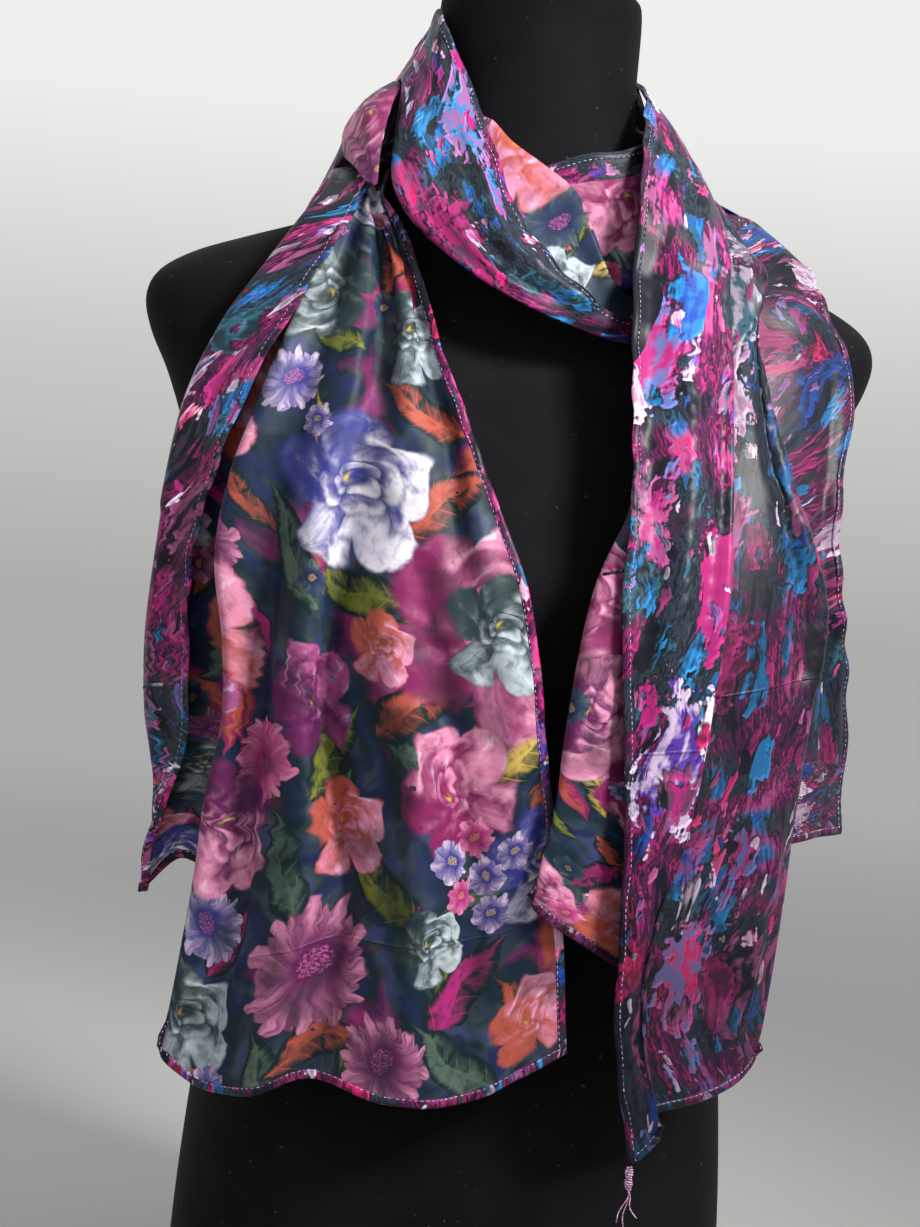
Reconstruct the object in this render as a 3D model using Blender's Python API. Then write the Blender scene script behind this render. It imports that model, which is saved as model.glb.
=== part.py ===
"""A long double-faced satin scarf wound once round the neck of a limbless dress form.

Millimetres in the tables, metres in the model. +Z is up, the form faces -Y, and +X is
to the right of someone who looks at its front. The origin is the centre of the form's
flat base. "across" is X, "depth" is Y (negative in front of the neck) and "height" is Z.
"""
import math

import bmesh
import bpy
import numpy as np

MM = 0.001

# ---- driving dimensions, in millimetres -------------------------------------------
CLOTH_WALL = 1.4          # thickness of the doubled satin with its rolled hem
FORM_HEIGHT = 753.0       # base to the top of the neck
FORM_SIDES = 40           # facets round the form
HEM_HEIGHT = 150.0        # height at which a fold has its "hem" lift
BUST_HEIGHT = 450.0       # height at which a fold has its "bust" lift
COLLAR_HEIGHT = 600.0     # height at which a fold has its "collar" lift
LEVEL_FROM = 330.0        # the sections of a hanging end are level above this height
LEVEL_TO = 540.0          # and below this one
SECTION_HEIGHTS = (150, 200, 250, 290, 330, 372, 414, 456, 498, 540, 572, 600)
NOSE_SHARE = 0.35         # most of the way to the next line that a fold's nose may take
LEFT_FLAP_SWELL = 3.0     # how far the middle of each flap stands out from its edges
RIGHT_FLAP_SWELL = 4.0
KNOT_RADIUS = 2.3         # whipped thread knot at the lowest corner
KNOT_LENGTH = 12.0
KNOT_GAP = 0.3
KNOT_SIDES = 8
KNOT_PROFILE = [(0.55, 0.0), (1.0, 0.2), (0.7, 0.45), (1.0, 0.7), (0.4, 1.0)]

# ---- facets between two knots of a table: (along the cloth, across it) ---------------
END_STEPS = (2, 2)
FRONT_STEPS = (2, 2)
NAPE_OUTER_STEPS = (4, 3)
NAPE_INNER_STEPS = (3, 2)

# ---- the dress form: one row for each horizontal section ----------------------------
# height, half width, depth in front, depth behind, squareness (2 is an ellipse)
FORM_SECTIONS = [
    (0.0, 157, 98, 112, 2.2),
    (60.0, 155, 104, 116, 2.2),
    (120.0, 151, 104, 113, 2.2),
    (180.0, 145, 99, 103, 2.2),
    (240.0, 140, 98, 94, 2.2),
    (300.0, 146, 107, 92, 2.2),
    (350.0, 156, 121, 95, 2.1),
    (400.0, 168, 129, 98, 2.0),
    (440.0, 175, 124, 100, 2.0),
    (480.0, 182, 112, 101, 2.1),
    (515.0, 194, 92, 99, 2.2),
    (540.0, 206, 77, 95, 2.3),
    (558.0, 210, 68, 91, 2.4),
    (572.0, 204, 63, 88, 2.4),
    (584.0, 186, 60, 85, 2.3),
    (595.0, 158, 58, 82, 2.2),
    (606.0, 128, 56, 78, 2.1),
    (620.0, 98, 56, 72, 2.0),
    (638.0, 75, 56, 65, 2.0),
    (660.0, 62, 56, 59, 2.0),
    (690.0, 57.5, 57, 58, 2.0),
    (738.0, 57.5, 57.5, 57.5, 2.0),
    (748.0, 54, 54, 54, 2.0),
    (FORM_HEIGHT, 45, 45, 45, 2.0),
]

# ---- the surface that cloth hung over the bust and shoulders follows -----------------
# height, half width, depth in front of the centre plane
DRAPE_SECTIONS = [
    (0.0, 207, 138),
    (200.0, 207, 142),
    (320.0, 207, 145),
    (420.0, 207, 145),
    (470.0, 207, 132),
    (520.0, 208, 108),
    (560.0, 208, 84),
    (585.0, 200, 70),
    (605.0, 165, 64),
    (640.0, 82, 58),
]

# ---- the left end: its fold lines, in order across the cloth --------------------------
# name, width of the round nose where the cloth turns back (0: none), lift off the drape at
# (hem, bust, collar), [(height, across), ...] from hem up, [(across, depth, height), ...]
# over the shoulder
LEFT_END = [
    ("flap hem", 0, (12, 12, 20),
     [(236, -188.5), (262, -187), (300, -178), (345, -174.5), (392, -180.5), (442, -174),
      (482, -165), (527, -146), (579, -120), (602, -108)],
     [(-99, -54, 620), (-92, -26, 638), (-88, 0, 645)]),
    ("outer fold", 6, (8, 8, 8),
     [(235, -190.5), (270, -187), (300, -189), (350, -196), (400, -195), (454, -191.5),
      (507, -183), (541, -170), (578, -147), (604, -130)],
     [(-121, -37, 617), (-114, -16, 632), (-113, 1, 636)]),
    ("back layer", 0, (-12, -8, -1),
     [(255, -171), (300, -168), (345, -169), (400, -174), (450, -168), (500, -152),
      (550, -131), (600, -112)],
     [(-113, -38, 605), (-108, -18, 619), (-109, 1, 624)]),
    ("tuck", 6, (-14, -10, -2),
     [(240, -150), (300, -145), (345, -142), (400, -147), (450, -145), (500, -135),
      (550, -122), (598, -104)],
     [(-101, -43, 605), (-99, -20, 620), (-98, 1, 625)]),
    ("main fold", 7, (14, 14, 12),
     [(154, -174), (200, -169), (250, -164.5), (300, -162), (348, -156.5), (400, -166),
      (435, -167), (467, -160), (512, -146), (556, -131), (600, -113)],
     [(-107, -51, 615), (-104, -26, 630), (-104, 0, 633)]),
    ("side valley", 0, (5, 4, 9),
     [(140, -157), (200, -149), (250, -145), (300, -143), (350, -142), (400, -141),
      (450, -140), (500, -133), (545, -122), (590, -108), (600, -105)],
     [(-101, -52, 610), (-97, -28, 627), (-98, 0, 631)]),
    ("side ridge", 0, (14, 14, 16),
     [(141, -130), (250, -126), (350, -128), (401, -125), (450, -120), (500, -112),
      (545, -103), (600, -97)],
     [(-98, -57, 612), (-94, -31, 630), (-95, 0, 635)]),
    ("middle valley", 0, (4, 4, 9),
     [(152, -102), (200, -96), (248, -91), (300, -104), (350, -114), (400, -109),
      (450, -103), (500, -93), (545, -87), (600, -92)],
     [(-95, -54, 608), (-90, -29, 627), (-91, 0, 632)]),
    ("middle ridge", 0, (14, 13, 14),
     [(144, -62), (250, -59), (327, -62), (401, -74), (450, -76), (500, -78), (545, -77),
      (600, -88)],
     [(-92, -58, 611), (-87, -31, 630), (-87, 0, 635)]),
    ("inner valley", 0, (7, 9, 10),
     [(147, -23), (250, -23), (327, -30), (401, -42), (450, -52), (500, -60), (545, -70),
      (600, -84.5)],
     [(-91, -58, 615), (-84, -32, 632), (-83, 0, 635)]),
    ("right hem", 0, (4, 11, 12),
     [(174, 28), (200, 25), (250, 17.5), (300, 9), (350, -1), (400, -10), (430, -21.5),
      (450, -30), (489, -44), (525, -57.5), (560, -67), (585, -73), (604, -82)],
     [(-91, -62, 619), (-83, -36, 636), (-79, 0, 638)]),
]

# ---- the right end: three layers, folded in a Z ---------------------------------------
RIGHT_END = [
    ("left hem", 0, (24, 26, 38),
     [(121, 63), (140, 56), (172, 51), (200, 47), (250, 46.5), (300, 44), (340, 40),
      (380, 35), (420, 33), (455, 36), (500, 37), (561, 39), (600, 42), (625, 44)],
     [(52, -56, 672), (58, -26, 696), (60, 6, 708)]),
    ("flap fold", 6, (32, 32, 32),
     [(138, 77), (172, 67), (200, 64), (232, 64.5), (257, 70), (281, 76), (337, 83),
      (371, 86), (433, 91), (479, 92), (516, 94), (546, 95.5), (572, 96), (600, 97)],
     [(98, -53, 628), (89, -26, 655), (79, 6, 668)]),
    ("flap tuck", 5, (22, 20, 22),
     [(143, 68), (200, 54), (257, 60), (337, 72), (433, 80), (479, 81), (516, 83),
      (572, 86), (600, 88)],
     [(91, -51, 622), (84, -26, 648), (77, 6, 660)]),
    ("second layer", 0, (25, 24, 26),
     [(154, 104), (257, 106), (337, 112), (380, 118), (433, 117), (479, 112), (516, 110),
      (546, 110), (572, 112), (600, 112)],
     [(106, -48, 617), (97, -26, 643), (88, 6, 659)]),
    ("right fold", 7, (20, 20, 24),
     [(175, 134), (200, 137), (250, 142), (300, 144.5), (350, 149), (400, 152.5),
      (420, 151.5), (450, 139.5), (500, 123), (543, 117), (566, 117), (592, 122)],
     [(119, -46, 608), (109, -26, 632), (100, 6, 650)]),
    ("middle layer right", 0, (8, 8, 13),
     [(192, 104), (300, 112), (383, 118), (450, 112), (508, 104), (555, 102), (596, 108)],
     [(108, -46, 602), (101, -26, 626), (96, 6, 644)]),
    ("middle layer left", 0, (9, 9, 14),
     [(218, 55), (300, 58), (383, 66), (450, 66), (508, 66), (555, 68), (598, 78)],
     [(90, -54, 606), (92, -26, 633), (87, 6, 646)]),
    ("left fold", 6, (24, 15, 24),
     [(254, 0), (300, 9), (350, 13), (400, 19), (435, 29), (455, 39), (490, 46),
      (520, 50), (555, 53), (600, 64)],
     [(76, -60, 621), (80.5, -26, 640), (79, 6, 651)]),
    ("back layer left", 0, (-2, -2, 6),
     [(262, 50), (300, 52), (383, 58), (450, 60), (508, 62), (555, 67), (596, 80)],
     [(88, -55, 600), (88, -26, 626), (86, 6, 639)]),
    ("back layer middle", 0, (-4, -4, 6),
     [(275, 110), (300, 112), (383, 116), (450, 118), (508, 116), (555, 114), (586, 116)],
     [(113, -48, 594), (111, -26, 618), (108, 6, 639)]),
    ("shoulder ridge", 0, (0, 0, 12),
     [(285, 155), (330, 158), (400, 160), (450, 158), (508, 154), (555, 148), (582, 146)],
     [(142, -48, 594), (141, -26, 618), (135, 6, 636)]),
    ("right hem", 0, (8, 8, 8),
     [(289, 194), (317, 197), (355, 193), (385, 186), (410, 180), (435, 174.5),
      (477, 174), (513, 180), (542, 184.5), (562, 177)],
     [(168, -48, 580), (165, -26, 602), (157, 6, 620)]),
]

# ---- stretches round the neck: lines along the cloth, each (across, depth, height) ------
THROAT_BAND = {
    "upper hem": [
        (-61, 3, 727), (-61, -12, 732), (-58, -34, 716), (-43, -47, 680), (-38, -60, 663),
        (-32, -75, 641), (-21, -91, 609), (-6, -101, 589), (13.5, -107, 570),
        (34, -101, 560), (54, -90, 559)],
    "upper ridge": [
        (-66, 3, 714), (-66, -14, 714), (-65, -38, 697), (-58, -58, 668), (-54, -76, 645),
        (-46, -91, 624), (-36, -103, 600), (-17, -111, 580), (9, -111, 566),
        (33, -103, 556), (53, -92, 555)],
    "lower ridge": [
        (-72, 3, 703), (-73, -16, 700), (-75, -42, 680), (-76, -62, 655), (-74, -80, 634),
        (-65, -95, 612), (-51, -105, 592), (-28, -113, 571), (3, -112, 560),
        (31, -104, 551), (51, -93, 550)],
    "lower fold": [
        (-77, 3, 693), (-79, -18, 688), (-82, -36, 670), (-86, -54, 648), (-87, -72, 622),
        (-79, -88, 602), (-58, -101, 582), (-32, -109, 565), (-5, -111, 554),
        (27, -103, 547), (49, -93, 546)],
    "back layer low": [
        (-71, 0, 690), (-72, -16, 684), (-74, -34, 668), (-77, -50, 648), (-77, -65, 624),
        (-70, -79, 608), (-52, -91, 590), (-29, -99, 574), (-4, -102, 562),
        (26, -97, 553), (48, -87, 552)],
    "back layer high": [
        (-65, 0, 703), (-65, -13, 704), (-60, -32, 690), (-50, -51, 660), (-45, -65, 642),
        (-37, -77, 624), (-27, -85, 607), (-12, -92, 592), (8, -96, 577),
        (29, -94, 565), (50, -84, 561)],
    "roll": [
        (-61, 0, 713), (-60, -11, 720), (-55, -29, 702), (-37, -49, 668), (-33, -58, 664),
        (-23, -67, 652), (-6, -74, 640), (11, -82, 626), (20, -90, 606),
        (33, -94, 578), (52, -83, 568)],
}

SIDE_CAP = {
    "inner edge": [(-81, 3, 692), (-80, -18, 686), (-86, -38, 672), (-91, -54, 655),
                   (-94, -64, 638), (-95, -69, 621)],
    "inner ridge": [(-92, 3, 684), (-92, -18, 681), (-95, -39, 668), (-96, -54, 650),
                    (-98, -64, 634), (-97, -69, 620)],
    "crown": [(-102, 3, 671), (-104, -14, 668), (-104, -34, 658), (-102, -50, 645),
              (-100, -62, 633), (-98, -68, 621)],
    "outer ridge": [(-107, 3, 656), (-109, -11, 657), (-108, -29, 651), (-106, -44, 642),
                    (-103, -57, 632), (-99.5, -66, 622)],
    "mouth edge": [(-109, 3, 641), (-107, -9, 645), (-109, -24, 642), (-108, -39, 637),
                   (-105, -53, 631), (-101, -63, 623)],
}

NAPE_OUTER = {
    "upper edge": [(60, 6.8, 708), (64, 30, 702), (47, 64, 692), (0, 79, 686),
                   (-47, 64, 694), (-66, 28, 712), (-61, 3.6, 727)],
    "upper fold": [(79, 6.8, 668), (84, 38, 672), (61, 82, 664), (0, 98, 656),
                   (-61, 82, 662), (-86, 36, 678), (-79, 3.6, 692)],
    "middle valley": [(100, 6.8, 650), (104, 40, 650), (72, 86, 636), (0, 100, 628),
                      (-72, 86, 634), (-98, 40, 652), (-101, 3.6, 671)],
    "lower fold": [(130, 6.8, 637), (136, 44, 632), (92, 98, 610), (0, 112, 598),
                   (-86, 98, 606), (-112, 42, 630), (-107, 3.6, 656)],
    "lower edge": [(157, 6.8, 620), (160, 46, 604), (112, 94, 582), (0, 108, 562),
                   (-100, 96, 582), (-122, 44, 610), (-109, 3.6, 641)],
}

NAPE_INNER = {
    "upper edge": [(-14, -64, 636), (14, -66, 648), (41, -64, 655), (62, -36, 668),
                   (62, 6, 680), (41, 50, 688), (0, 64, 692), (-43, 50, 688),
                   (-64, 20, 676), (-74, 0.8, 664)],
    "upper ridge": [(-12, -66, 620), (16, -70, 630), (43, -70, 636), (66, -40, 655),
                    (66, 6, 666), (45, 56, 668), (0, 70, 672), (-47, 56, 668),
                    (-71, 22, 662), (-82, 0.8, 656)],
    "lower ridge": [(-10, -70, 604), (18, -74, 609), (45, -75, 606), (70, -44, 642),
                    (70, 6, 652), (50, 60, 650), (0, 74, 652), (-53, 60, 650),
                    (-79, 24, 650), (-91, 0.8, 648)],
    "lower edge": [(-6, -74, 590), (22, -77, 584), (44, -77, 577), (74, -46, 628),
                   (74.8, 6, 640), (57, 64, 634), (0, 80, 634), (-60, 66, 636),
                   (-88, 26, 642), (-99, 0.8, 643)],
}

# ---- finishes: base colour, roughness ---------------------------------------------------
FINISHES = {
    "black cover": ((0.012, 0.012, 0.014), 0.85),
    "floral satin": ((0.16, 0.10, 0.17), 0.38),
    "stroke satin": ((0.20, 0.07, 0.17), 0.30),
    "whipping thread": ((0.75, 0.66, 0.72), 0.60),
}


def clear_scene():
    """Remove every object, so that the model starts from an empty scene."""
    for thing in list(bpy.data.objects):
        bpy.data.objects.remove(thing, do_unlink=True)


def finish(name):
    """The material with this name, made the first time that it is asked for."""
    material = bpy.data.materials.get(name)
    if material is None:
        colour, roughness = FINISHES[name]
        material = bpy.data.materials.new(name)
        material.use_nodes = True
        shader = material.node_tree.nodes["Principled BSDF"]
        shader.inputs["Base Color"].default_value = (*colour, 1.0)
        shader.inputs["Roughness"].default_value = roughness
        shader.inputs["Metallic"].default_value = 0.0
    return material


def smooth_values(rows, where):
    """Read a table of (place, value, ...) rows at each place, along smooth cubic curves."""
    table = np.array(rows, dtype=float)
    place, values = table[:, 0], table[:, 1:]
    slopes = np.gradient(values, place, axis=0)
    where = np.clip(np.atleast_1d(np.asarray(where, dtype=float)), place[0], place[-1])
    gap = np.clip(np.searchsorted(place, where, side="right") - 1, 0, len(place) - 2)
    width = place[gap + 1] - place[gap]
    t = ((where - place[gap]) / width)[:, None]
    width = width[:, None]
    return ((2 * t**3 - 3 * t**2 + 1) * values[gap] + (t**3 - 2 * t**2 + t) * width * slopes[gap]
            + (3 * t**2 - 2 * t**3) * values[gap + 1] + (t**3 - t**2) * width * slopes[gap + 1])


def drape_depth(across, height):
    """How far in front of the centre plane hung cloth lies at this place."""
    half_width, front = smooth_values(DRAPE_SECTIONS, height).T
    share = np.clip(np.abs(across) / half_width, 0.0, 1.0)
    return front * np.sqrt(1.0 - share**2)


def hung_line(lift, heights_across, over_shoulder):
    """Points of one fold line: down from the shoulder over the drape, hem first."""
    lowest, highest = heights_across[0][0], heights_across[-1][0]
    height = np.interp(SECTION_HEIGHTS,
                       (HEM_HEIGHT, LEVEL_FROM, LEVEL_TO, COLLAR_HEIGHT),
                       (lowest, LEVEL_FROM, LEVEL_TO, highest))
    across = smooth_values(heights_across, height)[:, 0]
    off_drape = np.interp(height, (HEM_HEIGHT, BUST_HEIGHT, COLLAR_HEIGHT), lift)
    depth = -(drape_depth(across, height) + off_drape)
    return np.vstack([np.column_stack([across, depth, height]), over_shoulder])


def between(line, other, swell):
    """The line midway between two others, moved out from the neck's axis by swell."""
    middle = (line + other) / 2
    outward = middle * (1, 1, 0)
    outward /= np.linalg.norm(outward, axis=1)[:, None]
    return middle + outward * swell


def with_noses(lines, widths):
    """The lines across a cloth, with each turned-back fold made two lines, a nose apart."""
    ordered = []
    for i, (line, width) in enumerate(zip(lines, widths)):
        if width == 0:
            ordered.append(line)
            continue
        before = lines[i - 1] - line
        after = lines[i + 1] - line
        reach_before = np.linalg.norm(before, axis=1)[:, None]
        reach_after = np.linalg.norm(after, axis=1)[:, None]
        side = before / reach_before - after / reach_after
        side /= np.linalg.norm(side, axis=1)[:, None]
        room = np.minimum(width, NOSE_SHARE * np.minimum(reach_before, reach_after))
        ordered.append(line + side * room / 2)
        ordered.append(line - side * room / 2)
    return ordered


def curve_through(points, steps):
    """Centripetal Catmull-Rom curve through points (n, k, 3), steps to each gap."""
    first = 2 * points[:1] - points[1:2]
    last = 2 * points[-1:] - points[-2:-1]
    knots = np.concatenate([first, points, last])
    rows = []
    for i in range(len(points) - 1):
        p0, p1, p2, p3 = knots[i:i + 4]
        t01 = np.sqrt(np.linalg.norm(p1 - p0, axis=-1, keepdims=True)) + 1e-9
        t12 = np.sqrt(np.linalg.norm(p2 - p1, axis=-1, keepdims=True)) + 1e-9
        t23 = np.sqrt(np.linalg.norm(p3 - p2, axis=-1, keepdims=True)) + 1e-9
        m1 = (p2 - p1) + t12 * ((p1 - p0) / t01 - (p2 - p0) / (t01 + t12))
        m2 = (p2 - p1) + t12 * ((p3 - p2) / t23 - (p3 - p1) / (t12 + t23))
        for step in range(steps):
            t = step / steps
            rows.append((2 * t**3 - 3 * t**2 + 1) * p1 + (t**3 - 2 * t**2 + t) * m1
                        + (3 * t**2 - 2 * t**3) * p2 + (t**3 - t**2) * m2)
    rows.append(points[-1])
    return np.array(rows)


def sheet_grid(lines, steps):
    """Grid of points (along, across, 3) of the cloth that runs through all the lines."""
    cage = np.stack([np.asarray(line, dtype=float) for line in lines], axis=1)
    along_steps, across_steps = steps
    rows = curve_through(cage, along_steps)
    return curve_through(rows.transpose(1, 0, 2), across_steps).transpose(1, 0, 2)


def cloth_wall(name, grid, finish_name):
    """A closed wall, CLOTH_WALL thick, centred on a grid of points."""
    along = np.gradient(grid, axis=0)
    across = np.gradient(grid, axis=1)
    normal = np.cross(across, along)
    normal /= np.linalg.norm(normal, axis=2)[:, :, None]
    half = normal * CLOTH_WALL / 2
    rows, columns = grid.shape[:2]
    points = np.concatenate([(grid + half).reshape(-1, 3), (grid - half).reshape(-1, 3)]) * MM
    back = rows * columns

    def corner(row, column):
        return row * columns + column

    faces = []
    for row in range(rows - 1):
        for column in range(columns - 1):
            quad = (corner(row, column), corner(row, column + 1),
                    corner(row + 1, column + 1), corner(row + 1, column))
            faces.append(quad)
            faces.append(tuple(back + c for c in reversed(quad)))
    rim = [corner(0, c) for c in range(columns)]
    rim += [corner(r, columns - 1) for r in range(1, rows)]
    rim += [corner(rows - 1, c) for c in range(columns - 2, -1, -1)]
    rim += [corner(r, 0) for r in range(rows - 2, 0, -1)]
    for here, following in zip(rim, rim[1:] + rim[:1]):
        faces.append((following, here, back + here, back + following))
    return solid(name, points, faces, finish_name)


def solid(name, points, faces, finish_name):
    """One smooth-shaded object from points and faces, its faces turned outwards."""
    mesh = bpy.data.meshes.new(name)
    mesh.from_pydata([tuple(p) for p in points], [], faces)
    shape = bmesh.new()
    shape.from_mesh(mesh)
    bmesh.ops.recalc_face_normals(shape, faces=shape.faces)
    shape.to_mesh(mesh)
    shape.free()
    mesh.shade_smooth()
    mesh.materials.append(finish(finish_name))
    thing = bpy.data.objects.new(name, mesh)
    bpy.context.scene.collection.objects.link(thing)
    return thing


def dress_form():
    """The stuffed form: one skin through its sections, flat at the base and the neck."""
    points = []
    for height, half_width, front, behind, squareness in FORM_SECTIONS:
        for side in range(FORM_SIDES):
            angle = 2 * math.pi * side / FORM_SIDES
            cosine, sine = math.cos(angle), math.sin(angle)
            reach = (abs(cosine)**squareness + abs(sine)**squareness)**(-1 / squareness)
            depth = behind if sine > 0 else front
            points.append((half_width * reach * cosine * MM, depth * reach * sine * MM,
                           height * MM))
    faces = []
    for section in range(len(FORM_SECTIONS) - 1):
        start = section * FORM_SIDES
        for side in range(FORM_SIDES):
            following = (side + 1) % FORM_SIDES
            faces.append((start + side, start + following,
                          start + FORM_SIDES + following, start + FORM_SIDES + side))
    top = (len(FORM_SECTIONS) - 1) * FORM_SIDES
    faces.append(tuple(reversed(range(FORM_SIDES))))
    faces.append(tuple(top + side for side in range(FORM_SIDES)))
    return solid("dress_form", points, faces, "black cover")


def end_grid(table, flap_edge, flap_fold, swell):
    """Grid of a hanging end. Its flap stands out by swell between its hem and its fold."""
    names = [row[0] for row in table]
    widths = [row[1] for row in table]
    lines = [hung_line(lift, hang, over) for name, nose, lift, hang, over in table]
    edge, fold = names.index(flap_edge), names.index(flap_fold)
    lines.insert(fold, between(lines[edge], lines[fold], swell))
    widths.insert(fold, 0)
    return sheet_grid(with_noses(lines, widths), END_STEPS)


def left_end():
    """End of the scarf at the left: floral panel, tuck and the flap turned forward."""
    grid = end_grid(LEFT_END, "flap hem", "outer fold", LEFT_FLAP_SWELL)
    return cloth_wall("left_end", grid, "floral satin")


def right_end():
    """End of the scarf at the right: front, middle and back layers folded in a Z."""
    grid = end_grid(RIGHT_END, "left hem", "flap fold", RIGHT_FLAP_SWELL)
    return cloth_wall("right_end", grid, "stroke satin")


def neck_stretch(name, lines, steps, finish_name):
    """A stretch of the scarf round the neck, from its table of lines."""
    return cloth_wall(name, sheet_grid(list(lines.values()), steps), finish_name)


def corner_knot():
    """The whipped knot under the lowest corner of the right end."""
    name, nose, lift, hang, over = RIGHT_END[0]
    tip = hung_line(lift, hang, over)[0]
    top = tip[2] - CLOTH_WALL / 2 - KNOT_GAP
    points = []
    for width, drop in KNOT_PROFILE:
        for side in range(KNOT_SIDES):
            angle = 2 * math.pi * side / KNOT_SIDES
            points.append(((tip[0] + KNOT_RADIUS * width * math.cos(angle)) * MM,
                           (tip[1] + KNOT_RADIUS * width * math.sin(angle)) * MM,
                           (top - KNOT_LENGTH * drop) * MM))
    faces = []
    for ring in range(len(KNOT_PROFILE) - 1):
        start = ring * KNOT_SIDES
        for side in range(KNOT_SIDES):
            following = (side + 1) % KNOT_SIDES
            faces.append((start + side, start + following,
                          start + KNOT_SIDES + following, start + KNOT_SIDES + side))
    last = (len(KNOT_PROFILE) - 1) * KNOT_SIDES
    faces.append(tuple(range(KNOT_SIDES)))
    faces.append(tuple(last + side for side in reversed(range(KNOT_SIDES))))
    return solid("corner_knot", points, faces, "whipping thread")


def main():
    clear_scene()
    dress_form()
    left_end()
    right_end()
    neck_stretch("throat_band", THROAT_BAND, FRONT_STEPS, "stroke satin")
    neck_stretch("side_cap", SIDE_CAP, FRONT_STEPS, "floral satin")
    neck_stretch("nape_outer", NAPE_OUTER, NAPE_OUTER_STEPS, "stroke satin")
    neck_stretch("nape_inner", NAPE_INNER, NAPE_INNER_STEPS, "floral satin")
    corner_knot()


main()
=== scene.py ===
"""Looks of a long double-faced satin scarf wound once round the neck of a dress form.

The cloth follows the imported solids, so the tables are those of the solids, in
millimetres. +Z is up, the form faces -Y and +X is to the right of someone who looks at
its front. "across" is X, "depth" is Y and "height" is Z. Flat places on the cloth are
metres: x across the strip, y along it from the lowest hem.
"""
import math
import random
from functools import partialmethod

import bpy
import numpy as np
from mathutils import Matrix, Vector


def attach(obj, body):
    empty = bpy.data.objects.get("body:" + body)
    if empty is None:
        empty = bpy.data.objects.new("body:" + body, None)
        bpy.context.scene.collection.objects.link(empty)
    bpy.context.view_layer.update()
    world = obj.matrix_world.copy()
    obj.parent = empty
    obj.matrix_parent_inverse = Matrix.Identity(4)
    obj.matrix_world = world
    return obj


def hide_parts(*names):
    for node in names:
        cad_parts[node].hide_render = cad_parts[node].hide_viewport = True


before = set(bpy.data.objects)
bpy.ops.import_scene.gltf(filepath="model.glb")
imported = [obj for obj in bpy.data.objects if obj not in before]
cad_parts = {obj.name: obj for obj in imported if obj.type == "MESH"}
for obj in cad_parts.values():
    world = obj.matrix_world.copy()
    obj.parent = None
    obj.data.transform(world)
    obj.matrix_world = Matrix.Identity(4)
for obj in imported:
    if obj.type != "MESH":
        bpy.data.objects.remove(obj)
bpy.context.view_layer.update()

MM = 0.001

# ---- driving dimensions of the solids, in millimetres ----
FORM_HEIGHT = 753.0       # base to the top of the neck
HEM_HEIGHT = 150.0        # height at which a fold has its "hem" lift
BUST_HEIGHT = 450.0       # height at which a fold has its "bust" lift
COLLAR_HEIGHT = 600.0     # height at which a fold has its "collar" lift
LEVEL_FROM = 330.0        # the sections of a hanging end are level above this height
LEVEL_TO = 540.0          # and below this one
SECTION_HEIGHTS = (150, 200, 250, 290, 330, 372, 414, 456, 498, 540, 572, 600)
NOSE_SHARE = 0.35         # most of the way to the next line that a fold's nose may take
LEFT_FLAP_SWELL = 3.0     # how far the middle of each flap stands out from its edges
RIGHT_FLAP_SWELL = 4.0

# ---- the dress form: one row for each horizontal section ----
# height, half width, depth in front, depth behind, squareness (2 is an ellipse)
FORM_SECTIONS = [
    (0.0, 157, 98, 112, 2.2),
    (60.0, 155, 104, 116, 2.2),
    (120.0, 151, 104, 113, 2.2),
    (180.0, 145, 99, 103, 2.2),
    (240.0, 140, 98, 94, 2.2),
    (300.0, 146, 107, 92, 2.2),
    (350.0, 156, 121, 95, 2.1),
    (400.0, 168, 129, 98, 2.0),
    (440.0, 175, 124, 100, 2.0),
    (480.0, 182, 112, 101, 2.1),
    (515.0, 194, 92, 99, 2.2),
    (540.0, 206, 77, 95, 2.3),
    (558.0, 210, 68, 91, 2.4),
    (572.0, 204, 63, 88, 2.4),
    (584.0, 186, 60, 85, 2.3),
    (595.0, 158, 58, 82, 2.2),
    (606.0, 128, 56, 78, 2.1),
    (620.0, 98, 56, 72, 2.0),
    (638.0, 75, 56, 65, 2.0),
    (660.0, 62, 56, 59, 2.0),
    (690.0, 57.5, 57, 58, 2.0),
    (738.0, 57.5, 57.5, 57.5, 2.0),
    (748.0, 54, 54, 54, 2.0),
    (FORM_HEIGHT, 45, 45, 45, 2.0),
]

# ---- the surface that cloth hung over the bust and shoulders follows ----
# height, half width, depth in front of the centre plane
DRAPE_SECTIONS = [
    (0.0, 207, 138),
    (200.0, 207, 142),
    (320.0, 207, 145),
    (420.0, 207, 145),
    (470.0, 207, 132),
    (520.0, 208, 108),
    (560.0, 208, 84),
    (585.0, 200, 70),
    (605.0, 165, 64),
    (640.0, 82, 58),
]

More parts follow.
